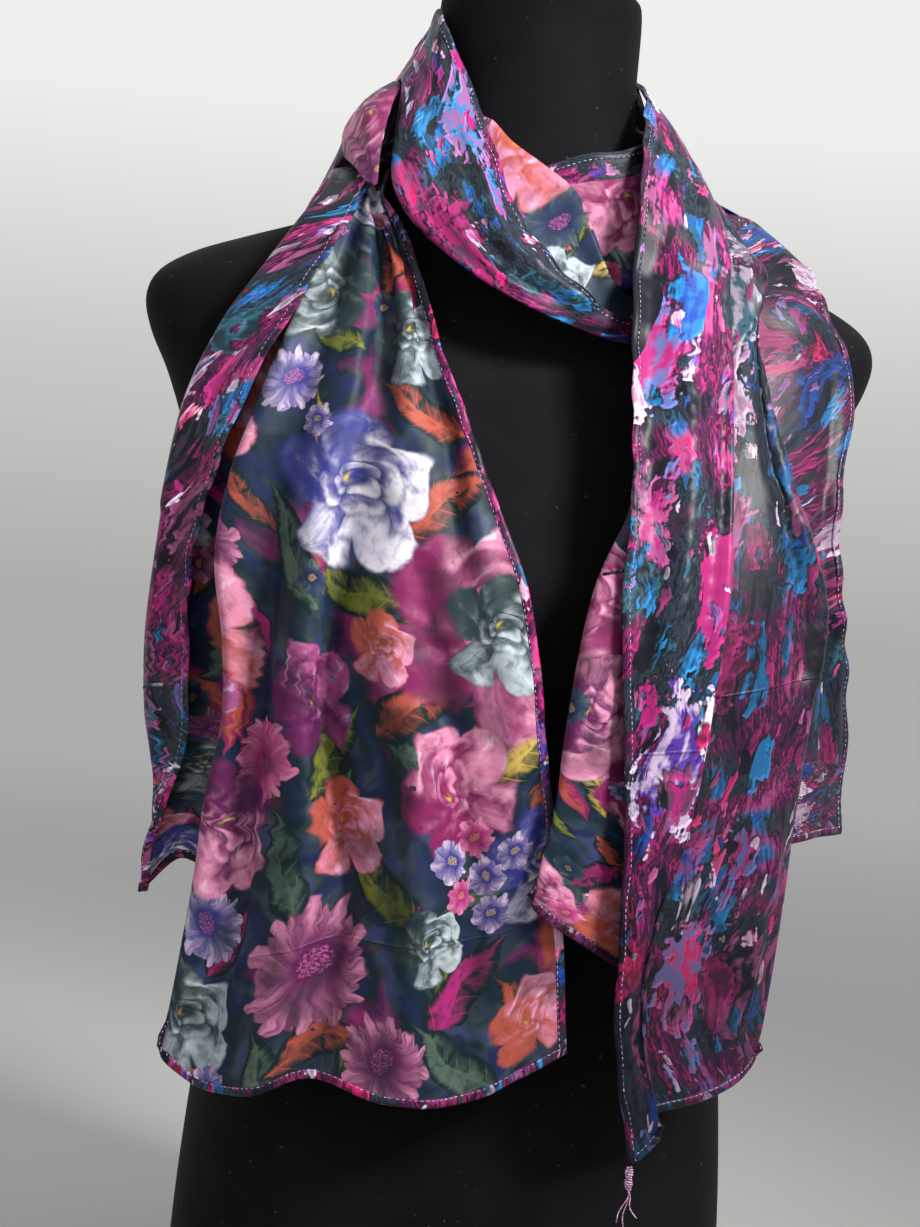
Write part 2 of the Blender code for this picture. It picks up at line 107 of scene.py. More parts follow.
# ---- the left end: its fold lines, in order across the cloth ----
# name, width of the round nose where the cloth turns back (0: none), lift off the drape at
# (hem, bust, collar), [(height, across), ...] from hem up, [(across, depth, height), ...]
# over the shoulder
LEFT_END = [
    ("flap hem", 0, (12, 12, 20),
     [(236, -188.5), (262, -187), (300, -178), (345, -174.5), (392, -180.5), (442, -174),
      (482, -165), (527, -146), (579, -120), (602, -108)],
     [(-99, -54, 620), (-92, -26, 638), (-88, 0, 645)]),
    ("outer fold", 6, (8, 8, 8),
     [(235, -190.5), (270, -187), (300, -189), (350, -196), (400, -195), (454, -191.5),
      (507, -183), (541, -170), (578, -147), (604, -130)],
     [(-121, -37, 617), (-114, -16, 632), (-113, 1, 636)]),
    ("back layer", 0, (-12, -8, -1),
     [(255, -171), (300, -168), (345, -169), (400, -174), (450, -168), (500, -152),
      (550, -131), (600, -112)],
     [(-113, -38, 605), (-108, -18, 619), (-109, 1, 624)]),
    ("tuck", 6, (-14, -10, -2),
     [(240, -150), (300, -145), (345, -142), (400, -147), (450, -145), (500, -135),
      (550, -122), (598, -104)],
     [(-101, -43, 605), (-99, -20, 620), (-98, 1, 625)]),
    ("main fold", 7, (14, 14, 12),
     [(154, -174), (200, -169), (250, -164.5), (300, -162), (348, -156.5), (400, -166),
      (435, -167), (467, -160), (512, -146), (556, -131), (600, -113)],
     [(-107, -51, 615), (-104, -26, 630), (-104, 0, 633)]),
    ("side valley", 0, (5, 4, 9),
     [(140, -157), (200, -149), (250, -145), (300, -143), (350, -142), (400, -141),
      (450, -140), (500, -133), (545, -122), (590, -108), (600, -105)],
     [(-101, -52, 610), (-97, -28, 627), (-98, 0, 631)]),
    ("side ridge", 0, (14, 14, 16),
     [(141, -130), (250, -126), (350, -128), (401, -125), (450, -120), (500, -112),
      (545, -103), (600, -97)],
     [(-98, -57, 612), (-94, -31, 630), (-95, 0, 635)]),
    ("middle valley", 0, (4, 4, 9),
     [(152, -102), (200, -96), (248, -91), (300, -104), (350, -114), (400, -109),
      (450, -103), (500, -93), (545, -87), (600, -92)],
     [(-95, -54, 608), (-90, -29, 627), (-91, 0, 632)]),
    ("middle ridge", 0, (14, 13, 14),
     [(144, -62), (250, -59), (327, -62), (401, -74), (450, -76), (500, -78), (545, -77),
      (600, -88)],
     [(-92, -58, 611), (-87, -31, 630), (-87, 0, 635)]),
    ("inner valley", 0, (7, 9, 10),
     [(147, -23), (250, -23), (327, -30), (401, -42), (450, -52), (500, -60), (545, -70),
      (600, -84.5)],
     [(-91, -58, 615), (-84, -32, 632), (-83, 0, 635)]),
    ("right hem", 0, (4, 11, 12),
     [(174, 28), (200, 25), (250, 17.5), (300, 9), (350, -1), (400, -10), (430, -21.5),
      (450, -30), (489, -44), (525, -57.5), (560, -67), (585, -73), (604, -82)],
     [(-91, -62, 619), (-83, -36, 636), (-79, 0, 638)]),
]

# ---- the right end: three layers, folded in a Z ----
RIGHT_END = [
    ("left hem", 0, (24, 26, 38),
     [(121, 63), (140, 56), (172, 51), (200, 47), (250, 46.5), (300, 44), (340, 40),
      (380, 35), (420, 33), (455, 36), (500, 37), (561, 39), (600, 42), (625, 44)],
     [(52, -56, 672), (58, -26, 696), (60, 6, 708)]),
    ("flap fold", 6, (32, 32, 32),
     [(138, 77), (172, 67), (200, 64), (232, 64.5), (257, 70), (281, 76), (337, 83),
      (371, 86), (433, 91), (479, 92), (516, 94), (546, 95.5), (572, 96), (600, 97)],
     [(98, -53, 628), (89, -26, 655), (79, 6, 668)]),
    ("flap tuck", 5, (22, 20, 22),
     [(143, 68), (200, 54), (257, 60), (337, 72), (433, 80), (479, 81), (516, 83),
      (572, 86), (600, 88)],
     [(91, -51, 622), (84, -26, 648), (77, 6, 660)]),
    ("second layer", 0, (25, 24, 26),
     [(154, 104), (257, 106), (337, 112), (380, 118), (433, 117), (479, 112), (516, 110),
      (546, 110), (572, 112), (600, 112)],
     [(106, -48, 617), (97, -26, 643), (88, 6, 659)]),
    ("right fold", 7, (20, 20, 24),
     [(175, 134), (200, 137), (250, 142), (300, 144.5), (350, 149), (400, 152.5),
      (420, 151.5), (450, 139.5), (500, 123), (543, 117), (566, 117), (592, 122)],
     [(119, -46, 608), (109, -26, 632), (100, 6, 650)]),
    ("middle layer right", 0, (8, 8, 13),
     [(192, 104), (300, 112), (383, 118), (450, 112), (508, 104), (555, 102), (596, 108)],
     [(108, -46, 602), (101, -26, 626), (96, 6, 644)]),
    ("middle layer left", 0, (9, 9, 14),
     [(218, 55), (300, 58), (383, 66), (450, 66), (508, 66), (555, 68), (598, 78)],
     [(90, -54, 606), (92, -26, 633), (87, 6, 646)]),
    ("left fold", 6, (24, 15, 24),
     [(254, 0), (300, 9), (350, 13), (400, 19), (435, 29), (455, 39), (490, 46),
      (520, 50), (555, 53), (600, 64)],
     [(76, -60, 621), (80.5, -26, 640), (79, 6, 651)]),
    ("back layer left", 0, (-2, -2, 6),
     [(262, 50), (300, 52), (383, 58), (450, 60), (508, 62), (555, 67), (596, 80)],
     [(88, -55, 600), (88, -26, 626), (86, 6, 639)]),
    ("back layer middle", 0, (-4, -4, 6),
     [(275, 110), (300, 112), (383, 116), (450, 118), (508, 116), (555, 114), (586, 116)],
     [(113, -48, 594), (111, -26, 618), (108, 6, 639)]),
    ("shoulder ridge", 0, (0, 0, 12),
     [(285, 155), (330, 158), (400, 160), (450, 158), (508, 154), (555, 148), (582, 146)],
     [(142, -48, 594), (141, -26, 618), (135, 6, 636)]),
    ("right hem", 0, (8, 8, 8),
     [(289, 194), (317, 197), (355, 193), (385, 186), (410, 180), (435, 174.5),
      (477, 174), (513, 180), (542, 184.5), (562, 177)],
     [(168, -48, 580), (165, -26, 602), (157, 6, 620)]),
]

# ---- stretches round the neck: lines along the cloth, each (across, depth, height) ----
THROAT_BAND = {
    "upper hem": [
        (-61, 3, 727), (-61, -12, 732), (-58, -34, 716), (-43, -47, 680), (-38, -60, 663),
        (-32, -75, 641), (-21, -91, 609), (-6, -101, 589), (13.5, -107, 570),
        (34, -101, 560), (54, -90, 559)],
    "upper ridge": [
        (-66, 3, 714), (-66, -14, 714), (-65, -38, 697), (-58, -58, 668), (-54, -76, 645),
        (-46, -91, 624), (-36, -103, 600), (-17, -111, 580), (9, -111, 566),
        (33, -103, 556), (53, -92, 555)],
    "lower ridge": [
        (-72, 3, 703), (-73, -16, 700), (-75, -42, 680), (-76, -62, 655), (-74, -80, 634),
        (-65, -95, 612), (-51, -105, 592), (-28, -113, 571), (3, -112, 560),
        (31, -104, 551), (51, -93, 550)],
    "lower fold": [
        (-77, 3, 693), (-79, -18, 688), (-82, -36, 670), (-86, -54, 648), (-87, -72, 622),
        (-79, -88, 602), (-58, -101, 582), (-32, -109, 565), (-5, -111, 554),
        (27, -103, 547), (49, -93, 546)],
    "back layer low": [
        (-71, 0, 690), (-72, -16, 684), (-74, -34, 668), (-77, -50, 648), (-77, -65, 624),
        (-70, -79, 608), (-52, -91, 590), (-29, -99, 574), (-4, -102, 562),
        (26, -97, 553), (48, -87, 552)],
    "back layer high": [
        (-65, 0, 703), (-65, -13, 704), (-60, -32, 690), (-50, -51, 660), (-45, -65, 642),
        (-37, -77, 624), (-27, -85, 607), (-12, -92, 592), (8, -96, 577),
        (29, -94, 565), (50, -84, 561)],
    "roll": [
        (-61, 0, 713), (-60, -11, 720), (-55, -29, 702), (-37, -49, 668), (-33, -58, 664),
        (-23, -67, 652), (-6, -74, 640), (11, -82, 626), (20, -90, 606),
        (33, -94, 578), (52, -83, 568)],
}

SIDE_CAP = {
    "inner edge": [(-81, 3, 692), (-80, -18, 686), (-86, -38, 672), (-91, -54, 655),
                   (-94, -64, 638), (-95, -69, 621)],
    "inner ridge": [(-92, 3, 684), (-92, -18, 681), (-95, -39, 668), (-96, -54, 650),
                    (-98, -64, 634), (-97, -69, 620)],
    "crown": [(-102, 3, 671), (-104, -14, 668), (-104, -34, 658), (-102, -50, 645),
              (-100, -62, 633), (-98, -68, 621)],
    "outer ridge": [(-107, 3, 656), (-109, -11, 657), (-108, -29, 651), (-106, -44, 642),
                    (-103, -57, 632), (-99.5, -66, 622)],
    "mouth edge": [(-109, 3, 641), (-107, -9, 645), (-109, -24, 642), (-108, -39, 637),
                   (-105, -53, 631), (-101, -63, 623)],
}

NAPE_OUTER = {
    "upper edge": [(60, 6.8, 708), (64, 30, 702), (47, 64, 692), (0, 79, 686),
                   (-47, 64, 694), (-66, 28, 712), (-61, 3.6, 727)],
    "upper fold": [(79, 6.8, 668), (84, 38, 672), (61, 82, 664), (0, 98, 656),
                   (-61, 82, 662), (-86, 36, 678), (-79, 3.6, 692)],
    "middle valley": [(100, 6.8, 650), (104, 40, 650), (72, 86, 636), (0, 100, 628),
                      (-72, 86, 634), (-98, 40, 652), (-101, 3.6, 671)],
    "lower fold": [(130, 6.8, 637), (136, 44, 632), (92, 98, 610), (0, 112, 598),
                   (-86, 98, 606), (-112, 42, 630), (-107, 3.6, 656)],
    "lower edge": [(157, 6.8, 620), (160, 46, 604), (112, 94, 582), (0, 108, 562),
                   (-100, 96, 582), (-122, 44, 610), (-109, 3.6, 641)],
}

NAPE_INNER = {
    "upper edge": [(-14, -64, 636), (14, -66, 648), (41, -64, 655), (62, -36, 668),
                   (62, 6, 680), (41, 50, 688), (0, 64, 692), (-43, 50, 688),
                   (-64, 20, 676), (-74, 0.8, 664)],
    "upper ridge": [(-12, -66, 620), (16, -70, 630), (43, -70, 636), (66, -40, 655),
                    (66, 6, 666), (45, 56, 668), (0, 70, 672), (-47, 56, 668),
                    (-71, 22, 662), (-82, 0.8, 656)],
    "lower ridge": [(-10, -70, 604), (18, -74, 609), (45, -75, 606), (70, -44, 642),
                    (70, 6, 652), (50, 60, 650), (0, 74, 652), (-53, 60, 650),
                    (-79, 24, 650), (-91, 0.8, 648)],
    "lower edge": [(-6, -74, 590), (22, -77, 584), (44, -77, 577), (74, -46, 628),
                   (74.8, 6, 640), (57, 64, 634), (0, 80, 634), (-60, 66, 636),
                   (-88, 26, 642), (-99, 0.8, 643)],
}

# ---- the cloth's make, with its lengths in millimetres ----
CLOTH_THICKNESS = 0.7     # between the two printed faces
CELL = 3.0                # between the points of a cloth's mesh
LEAST_CELLS = 3           # between two fold lines, or two sections
NOSE_SPREAD = 0.1         # a nose's two lines are numbered this far from their fold's number
RUFFLE_DEPTH = 1.1
RUFFLE_PITCH = 38.0
RUFFLE_DRIFT = 31.0       # the slow wave that varies a ruffle's pitch
RUFFLE_WIDTH = 13.0
RUFFLE_FADE = 40.0        # a ruffle dies away over this length towards the next stretch
CREASE_STATIONS = 64      # places along a crease's route that it is made from
CREASE_SPAN = (0.06, 0.94)   # the part of a sine arch that a crease's depth follows
CREASE_FULLNESS = 0.6     # under 1, a crease keeps its depth for longer
CREASE_REACH = 1.6        # a crease moves no cloth further from it than this many lines
HEM_WIDTH = 5.0
HEM_THICKNESS = 1.9
HEM_OVERHANG = 0.5        # how far the rolled hem stands out past the cloth's own edge
HEM_SIDES = 10
HEM_PUCKER = 0.12         # share by which the hem's thickness swells between stitches
HEM_PUCKER_PITCH = 6.5
HEM_PUCKER_DRIFT = 23.0
STITCH_PITCH = 3.2
STITCH_LENGTH = 2.1
STITCH_RADIUS = 0.26
STITCH_INSET = 0.9        # stitches lie this far inside the hem's inner edge
STITCH_SUNK = 0.35        # how far a stitch is pulled into the cloth
STITCH_SIDES = 5
STITCH_PROFILE = np.array([(-1.0, 0.35), (-0.55, 0.95), (0.55, 0.95), (1.0, 0.35)])
SEAM_WIDTH = 2.2
SEAM_THICKNESS = 0.8
SEAM_SIDES = 8
ROW_HEIGHTS = SECTION_HEIGHTS + (615, 630, 640)   # the last three are over the shoulder
FLAT_MAP = "flat"

# ---- colours, linear ----
CHARCOAL = (0.007, 0.008, 0.013)
SLATE = (0.030, 0.042, 0.062)
TEAL = (0.030, 0.110, 0.160)
COBALT = (0.014, 0.060, 0.330)
CERULEAN = (0.020, 0.190, 0.460)
VIOLET = (0.070, 0.030, 0.250)
PLUM = (0.100, 0.012, 0.075)
MAGENTA = (0.360, 0.020, 0.150)
HOT_PINK = (0.680, 0.022, 0.150)
ORCHID = (0.360, 0.085, 0.230)
LILAC = (0.640, 0.500, 0.650)
PALE_LILAC = (0.760, 0.660, 0.780)
PALE_PINK = (0.640, 0.240, 0.380)
CORAL = (0.380, 0.075, 0.050)
PERIWINKLE = (0.120, 0.130, 0.360)
NIGHT_GREEN = (0.006, 0.018, 0.021)
NAVY = (0.014, 0.020, 0.080)
OLIVE = (0.150, 0.165, 0.025)
SAGE = (0.080, 0.120, 0.095)
MIST = (0.400, 0.460, 0.500)
SLATE_GREEN = (0.022, 0.040, 0.044)
BLOOM_WHITE = (0.760, 0.720, 0.800)
DEEP_BLUE = (0.030, 0.032, 0.200)
DEEP_ROSE = (0.190, 0.012, 0.085)
BLACK_COVER = (0.0035, 0.0036, 0.0042)
STRAW = (0.480, 0.340, 0.080)
COVER_BLOOM = (0.009, 0.009, 0.011)
LINT = (0.09, 0.09, 0.10)
# the floor: grey with painted shade near the form, pale further off
FLOOR_NEAR = (0.44, 0.435, 0.430)
FLOOR_FAR = (0.675, 0.668, 0.662)


# ---- shape: the same curves as the solids, in finer steps ----
def length(vectors):
    """The length of each vector, with its axis kept."""
    return np.linalg.norm(vectors, axis=-1, keepdims=True)


def unit(vectors):
    """The vectors at length one."""
    return vectors / length(vectors)


def run_along(points, axis=0):
    """The distance run from the first point to each one, along this axis."""
    steps = length(np.diff(points, axis=axis))[..., 0]
    return np.insert(np.cumsum(steps, axis=axis), 0, 0.0, axis=axis)


def nearest(numbers, number):
    """The index of the entry that is nearest to this number."""
    return int(np.abs(numbers - number).argmin())


def cubic(t, start, end, leaving, arriving):
    """Share t of the way from start to end, on a cubic with these slopes at its ends."""
    return ((2 * t**3 - 3 * t**2 + 1) * start + (t**3 - 2 * t**2 + t) * leaving
            + (3 * t**2 - 2 * t**3) * end + (t**3 - t**2) * arriving)


def smooth_values(rows, where):
    """Read a table of (place, value, ...) rows at each place, along smooth cubic curves."""
    table = np.array(rows, dtype=float)
    place, values = table[:, 0], table[:, 1:]
    slopes = np.gradient(values, place, axis=0)
    where = np.clip(where, place[0], place[-1])
    gap = np.clip(np.searchsorted(place, where, side="right") - 1, 0, len(place) - 2)
    width = (place[gap + 1] - place[gap])[:, None]
    t = (where - place[gap])[:, None] / width
    return cubic(t, values[gap], values[gap + 1], width * slopes[gap], width * slopes[gap + 1])


def drape_depth(across, height):
    """How far in front of the centre plane hung cloth lies at this place."""
    half_width, front = smooth_values(DRAPE_SECTIONS, height).T
    share = np.clip(np.abs(across) / half_width, 0.0, 1.0)
    return front * np.sqrt(1.0 - share**2)


def hung_line(lift, heights_across, over_shoulder):
    """Points of one fold line: down from the shoulder over the drape, hem first."""
    height = np.interp(SECTION_HEIGHTS,
                       (HEM_HEIGHT, LEVEL_FROM, LEVEL_TO, COLLAR_HEIGHT),
                       (heights_across[0][0], LEVEL_FROM, LEVEL_TO, heights_across[-1][0]))
    across = smooth_values(heights_across, height)[:, 0]
    off_drape = np.interp(height, (HEM_HEIGHT, BUST_HEIGHT, COLLAR_HEIGHT), lift)
    depth = -(drape_depth(across, height) + off_drape)
    return np.vstack([np.column_stack([across, depth, height]), over_shoulder])


def between(line, other, swell):
    """The line midway between two others, moved out from the neck's axis by swell."""
    middle = (line + other) / 2
    return middle + unit(middle * (1, 1, 0)) * swell


def with_noses(lines, widths, numbers):
    """The lines with each turned-back fold made two lines, and each one's table number."""
    ordered, order = [], []
    for i, (line, width) in enumerate(zip(lines, widths)):
        if width == 0:
            ordered.append(line)
            order.append(numbers[i])
            continue
        before, after = lines[i - 1] - line, lines[i + 1] - line
        side = unit(unit(before) - unit(after))
        room = np.minimum(width, NOSE_SHARE * np.minimum(length(before), length(after)))
        ordered += [line + side * room / 2, line - side * room / 2]
        order += [numbers[i] - NOSE_SPREAD, numbers[i] + NOSE_SPREAD]
    return ordered, order


def curve_through(points, steps):
    """Centripetal Catmull-Rom curve through points (n, k, 3), with steps[i] in gap i."""
    knots = np.concatenate([2 * points[:1] - points[1:2], points,
                            2 * points[-1:] - points[-2:-1]])
    spans = np.sqrt(length(np.diff(knots, axis=0))) + 1e-9
    rows = []
    for i, count in enumerate(steps):
        p0, p1, p2, p3 = knots[i:i + 4]
        t01, t12, t23 = spans[i:i + 3]
        leaving = (p2 - p1) + t12 * ((p1 - p0) / t01 - (p2 - p0) / (t01 + t12))
        arriving = (p2 - p1) + t12 * ((p3 - p2) / t23 - (p3 - p1) / (t12 + t23))
        rows += [cubic(step / count, p1, p2, leaving, arriving) for step in range(count)]
    return np.array(rows + [points[-1]])


def steps_between(knots):
    """How many cells fit between each pair of neighbouring knots (n, k, 3)."""
    gaps = length(np.diff(knots, axis=0))[..., 0].mean(axis=1)
    return [max(LEAST_CELLS, math.ceil(gap / CELL)) for gap in gaps]


def spread_numbers(numbers, steps):
    """The knots' numbers, read at each fine step between them."""
    fine = [here + (following - here) * step / count
            for here, following, count in zip(numbers, numbers[1:], steps)
            for step in range(count)]
    return np.array(fine + [numbers[-1]])


class Drape:
    """One stretch of cloth: its fine grid (along, across, 3) in millimetres."""

    def __init__(self, lines, row_numbers, line_numbers):
        cage = np.stack([np.asarray(line, dtype=float) for line in lines], axis=1)
        along, across = steps_between(cage), steps_between(cage.transpose(1, 0, 2))
        rows = curve_through(cage, along)
        self.grid = curve_through(rows.transpose(1, 0, 2), across).transpose(1, 0, 2)
        self.rows = spread_numbers(row_numbers, along)
        self.columns = spread_numbers(line_numbers, across)

    def normals(self):
        """Unit normals of the grid, on the side that cross(across, along) gives."""
        return unit(np.cross(np.gradient(self.grid, axis=1), np.gradient(self.grid, axis=0)))

    def crease(self, depth, width, route):
        """Move the cloth by depth along a soft route of (line number, row number)."""
        stations = np.linspace(0, len(route) - 1, CREASE_STATIONS)
        lines, rows = (np.interp(stations, range(len(route)), part) for part in zip(*route))
        arch = np.sin(np.pi * np.linspace(*CREASE_SPAN, CREASE_STATIONS))
        strength = np.zeros(self.grid.shape[:2])
        for line, row, fade in zip(lines, rows, arch ** CREASE_FULLNESS):
            station = self.grid[nearest(self.rows, row), nearest(self.columns, line)]
            away = length(self.grid - station)[..., 0]
            near = np.abs(self.columns - line) < CREASE_REACH
            strength = np.maximum(strength, near * fade * np.exp(-(away / width) ** 2))
        self.grid += self.normals() * strength[..., None] * depth

    def ruffle(self, edges):
        """Let the cloth beside its hemmed edges wave a little, as a narrow hem makes it."""
        normal = self.normals()
        along, across = run_along(self.grid, 0), run_along(self.grid, 1)
        fade = np.clip((along[-1:] - along) / RUFFLE_FADE, 0, 1)
        if "bottom" not in edges:
            fade = fade * np.clip(along / RUFFLE_FADE, 0, 1)
        for number, edge in enumerate(edges):
            away, run = {"left": (across, along[:, :1]), "bottom": (along, across[:1]),
                         "right": (across[:, -1:] - across, along[:, -1:])}[edge]
            wave = np.sin(run * 2 * np.pi / RUFFLE_PITCH + 2 * np.sin(run / RUFFLE_DRIFT + number))
            strength = RUFFLE_DEPTH * np.exp(-(away / RUFFLE_WIDTH) ** 2)
            self.grid += normal * (wave * strength * fade)[..., None]

    def flat(self, reference, start):
        """Flat places (x, y) in metres: x from the reference line, y from row 0."""
        middle = nearest(self.columns, reference)
        x = run_along(self.grid, 1)
        x -= x[:, [middle]]
        y = np.broadcast_to(run_along(self.grid[:, middle])[:, None], x.shape)
        return np.stack([x, y], axis=2) * MM + start


def hung_drape(table, swell):
    """A hanging end. Rows are numbered by height and lines by their place in the table.

    Its flap is the cloth between the table's first two lines.
    """
    widths = [row[1] for row in table]
    lines = [hung_line(*row[2:]) for row in table]
    numbers = [float(i) for i in range(len(table))]
    lines.insert(1, between(lines[0], lines[1], swell))
    widths.insert(1, 0)
    numbers.insert(1, 0.5)
    lines, numbers = with_noses(lines, widths, numbers)
    return Drape(lines, ROW_HEIGHTS, numbers)


def neck_drape(table):
    """A stretch round the neck. Rows and lines are numbered by their place in the table."""
    lines = list(table.values())
    return Drape(lines, range(len(lines[0])), range(len(lines)))


# ---- meshes ----
def place_object(name, data):
    """An object of this name, in the scene."""
    thing = bpy.data.objects.new(name, data)
    bpy.context.scene.collection.objects.link(thing)
    return thing


def values_of(items, key, width=1, dtype=np.int32):
    """One value of each item of a mesh, as an array."""
    values = np.empty(len(items) * width, dtype=dtype)
    items.foreach_get(key, values)
    return values


def piece(name, points, faces, finishes, sides=None, flat=None):
    """A smooth-shaded object from points in millimetres, with flat places as its UV map."""
    mesh = bpy.data.meshes.new(name)
    mesh.from_pydata((points * MM).tolist(), [], faces)
    mesh.shade_smooth()
    for material in finishes:
        mesh.materials.append(material)
    if sides is not None:
        mesh.polygons.foreach_set("material_index", sides.astype(np.int32))
    if flat is not None:
        places = flat[values_of(mesh.loops, "vertex_index")].astype(np.float32)
        mesh.uv_layers.new(name=FLAT_MAP).uv.foreach_set("vector", places.ravel())
    thing = place_object(name, mesh)
    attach(thing, "root")
    return thing


def cloth_shell(name, drape, flat, front, back, turned):
    """The cloth as a thin closed shell, one printed face on each side.

    Up to the line numbered turned, the cloth lies the other way out.
    """
    half = drape.normals() * CLOTH_THICKNESS / 2
    points = np.concatenate([drape.grid + half, drape.grid - half]).reshape(-1, 3)
    rows, columns = drape.grid.shape[:2]
    count = rows * columns
    index = np.arange(count).reshape(rows, columns)
    quads = np.stack([index[:-1, :-1], index[:-1, 1:], index[1:, 1:], index[1:, :-1]],
                     axis=2).reshape(-1, 4)
    rim = np.concatenate([index[0], index[1:, -1], index[-1, -2::-1], index[-2:0:-1, 0]])
    ahead = np.roll(rim, -1)
    edge = np.stack([ahead, rim, rim + count, ahead + count], axis=1)
    faces = np.concatenate([quads, quads[:, ::-1] + count, edge])
    over = np.tile(drape.columns[1:] <= turned, rows - 1)
    sides = np.concatenate([over, ~over, np.ones(len(edge), dtype=bool)])
    places = np.tile(flat.reshape(-1, 2), (2, 1))
    return piece(name, points, faces.tolist(), (front, back), sides, places)


def tube_faces(rings, sides):
    """Quads between rings of points, and a cap at each end."""
    last = (rings - 1) * sides
    faces = [(start + side, start + (side + 1) % sides, start + sides + (side + 1) % sides,
              start + sides + side) for start in range(0, last, sides) for side in range(sides)]
    return faces + [tuple(reversed(range(sides))), tuple(range(last, last + sides))]


class Bundle:
    """Many small closed tubes, gathered to become one piece."""

    def __init__(self):
        self.points, self.faces, self.flat, self.count = [], [], [], 0

    def add(self, rings, flat=(0.0, 0.0)):
        """Add a tube from its rings (count, sides, 3), with the flat places of its points."""
        count, sides = rings.shape[:2]
        self.faces += [tuple(self.count + corner for corner in face)
                       for face in tube_faces(count, sides)]
        self.points.append(rings.reshape(-1, 3))
        self.flat.append(np.broadcast_to(flat, (count, sides, 2)).reshape(-1, 2))
        self.count += count * sides

    def make(self, name, finish):
        """The gathered tubes as one piece."""
        return piece(name, np.concatenate(self.points), self.faces, (finish,),
                     flat=np.concatenate(self.flat))


def rings_along(path, side, up, width, thickness, sides):
    """Flattened rings (count, sides, 3) round a path. side and up are its unit crosswise axes."""
    angle = 2 * np.pi * np.arange(sides)[None, :, None] / sides
    wide = side[:, None] * np.cos(angle) * np.reshape(width, (-1, 1, 1)) / 2
    high = up[:, None] * np.sin(angle) * np.reshape(thickness, (-1, 1, 1)) / 2
    return path[:, None] + wide + high


def reach_of(width, sides):
    """How far to its side each point of a flattened ring of this width lies."""
    return width / 2 * np.cos(2 * np.pi * np.arange(sides) / sides)


def edge_routes(drape, edges):
    """Runs of (row, column) along the hemmed edges: "left", "bottom" and "right"."""
    rows, columns = drape.grid.shape[:2]
    left = [(r, 0) for r in range(rows - 1, -1, -1)]
    right = [(r, columns - 1) for r in range(rows)]
    if "bottom" in edges:
        return [left + [(0, c) for c in range(1, columns)] + right[1:]]
    return [{"left": left, "right": right}[edge] for edge in edges]


def hem_and_stitches(name, drape, flat, edges, hem_finish, thread_finish):
    """The rolled hem along the cloth's free edges, and its row of topstitches."""
    roll, thread = Bundle(), Bundle()
    normals = drape.normals()
    middle = HEM_WIDTH / 2 - HEM_OVERHANG
    reach = (middle + reach_of(HEM_WIDTH, HEM_SIDES))[None, :, None] * MM
    for route in edge_routes(drape, edges):
        row, column = np.array(route).T
        path, up = drape.grid[row, column], normals[row, column]
        inner = (np.where((row == 0) & ("bottom" in edges), 1, row),
                 np.clip(column, 1, drape.grid.shape[1] - 2))
        forward = unit(np.gradient(path, axis=0))
        inward = drape.grid[inner] - path
        for axis in (forward, up):
            inward = inward - axis * (inward * axis).sum(axis=1)[:, None]
        inward = unit(inward)
        flat_inward = unit(flat[inner] - flat[row, column])
        run = run_along(path)
        pucker = 1 + HEM_PUCKER * np.sin(run * 2 * np.pi / HEM_PUCKER_PITCH
                                         + 2 * np.sin(run / HEM_PUCKER_DRIFT))
        roll.add(rings_along(path + inward * middle, inward, up, HEM_WIDTH,
                             HEM_THICKNESS * pucker, HEM_SIDES),
                 flat[row, column][:, None] + flat_inward[:, None] * reach)
        add_stitches(thread, run, path, forward, inward, up)
    return roll.make(name + "_hem", hem_finish), thread.make(name + "_topstitch", thread_finish)


def add_stitches(thread, run, path, forward, inward, up):
    """Topstitches on both faces of one run of hem."""
    at = np.arange(STITCH_PITCH, run[-1], STITCH_PITCH)

    def read(values):
        return np.stack([np.interp(at, run, part) for part in values.T], axis=1)

    ahead, across, lift = (unit(read(values)) for values in (forward, inward, up))
    seat = read(path) + across * (HEM_WIDTH - HEM_OVERHANG - STITCH_INSET)
    girth = STITCH_PROFILE[:, 1] * 2 * STITCH_RADIUS
    for side in (1, -1):
        tops = seat + lift * side * (HEM_THICKNESS / 2 - STITCH_SUNK)
        for top, way, aside, normal in zip(tops, ahead, across, lift):
            knots = top + way * (STITCH_PROFILE[:, :1] * STITCH_LENGTH / 2)
            thread.add(rings_along(knots, aside[None], normal[None], girth, girth, STITCH_SIDES))


def seam_welt(bundle, drape, flat, route):
    """A crosswise piecing seam: a narrow welt along a route of (line, row number)."""
    lines, numbers = zip(*route)
    columns = np.arange(nearest(drape.columns, lines[0]), nearest(drape.columns, lines[-1]) + 1)
    at = np.interp(drape.columns[columns], lines, numbers)
    rows = np.interp(at, drape.rows, range(len(drape.rows)))
    low = np.clip(np.floor(rows).astype(int), 0, len(drape.rows) - 2)
    share = (rows - low)[:, None]

    def read(values):
        return values[low, columns] * (1 - share) + values[low + 1, columns] * share

    path, up = read(drape.grid), unit(read(drape.normals()))
    side = unit(np.cross(up, np.gradient(path, axis=0)))
    places = np.repeat(read(flat)[:, None], SEAM_SIDES, axis=1)
    places[:, :, 1] += reach_of(SEAM_WIDTH, SEAM_SIDES) * MM
    bundle.add(rings_along(path, side, up, SEAM_WIDTH, CLOTH_THICKNESS + SEAM_THICKNESS,
                           SEAM_SIDES), places)


# ---- shader tools ----
NUMBER, VECTOR, COLOUR = "NodeSocketFloat", "NodeSocketVector", "NodeSocketColor"


def feed(socket, value):
    """Join a socket to a signal, or give it a plain value."""
    if isinstance(value, Signal):
        value.tree.links.new(value.socket, socket)
    elif socket.type == "RGBA" and len(value) == 3:
        socket.default_value = (*value, 1.0)
    else:
        socket.default_value = value


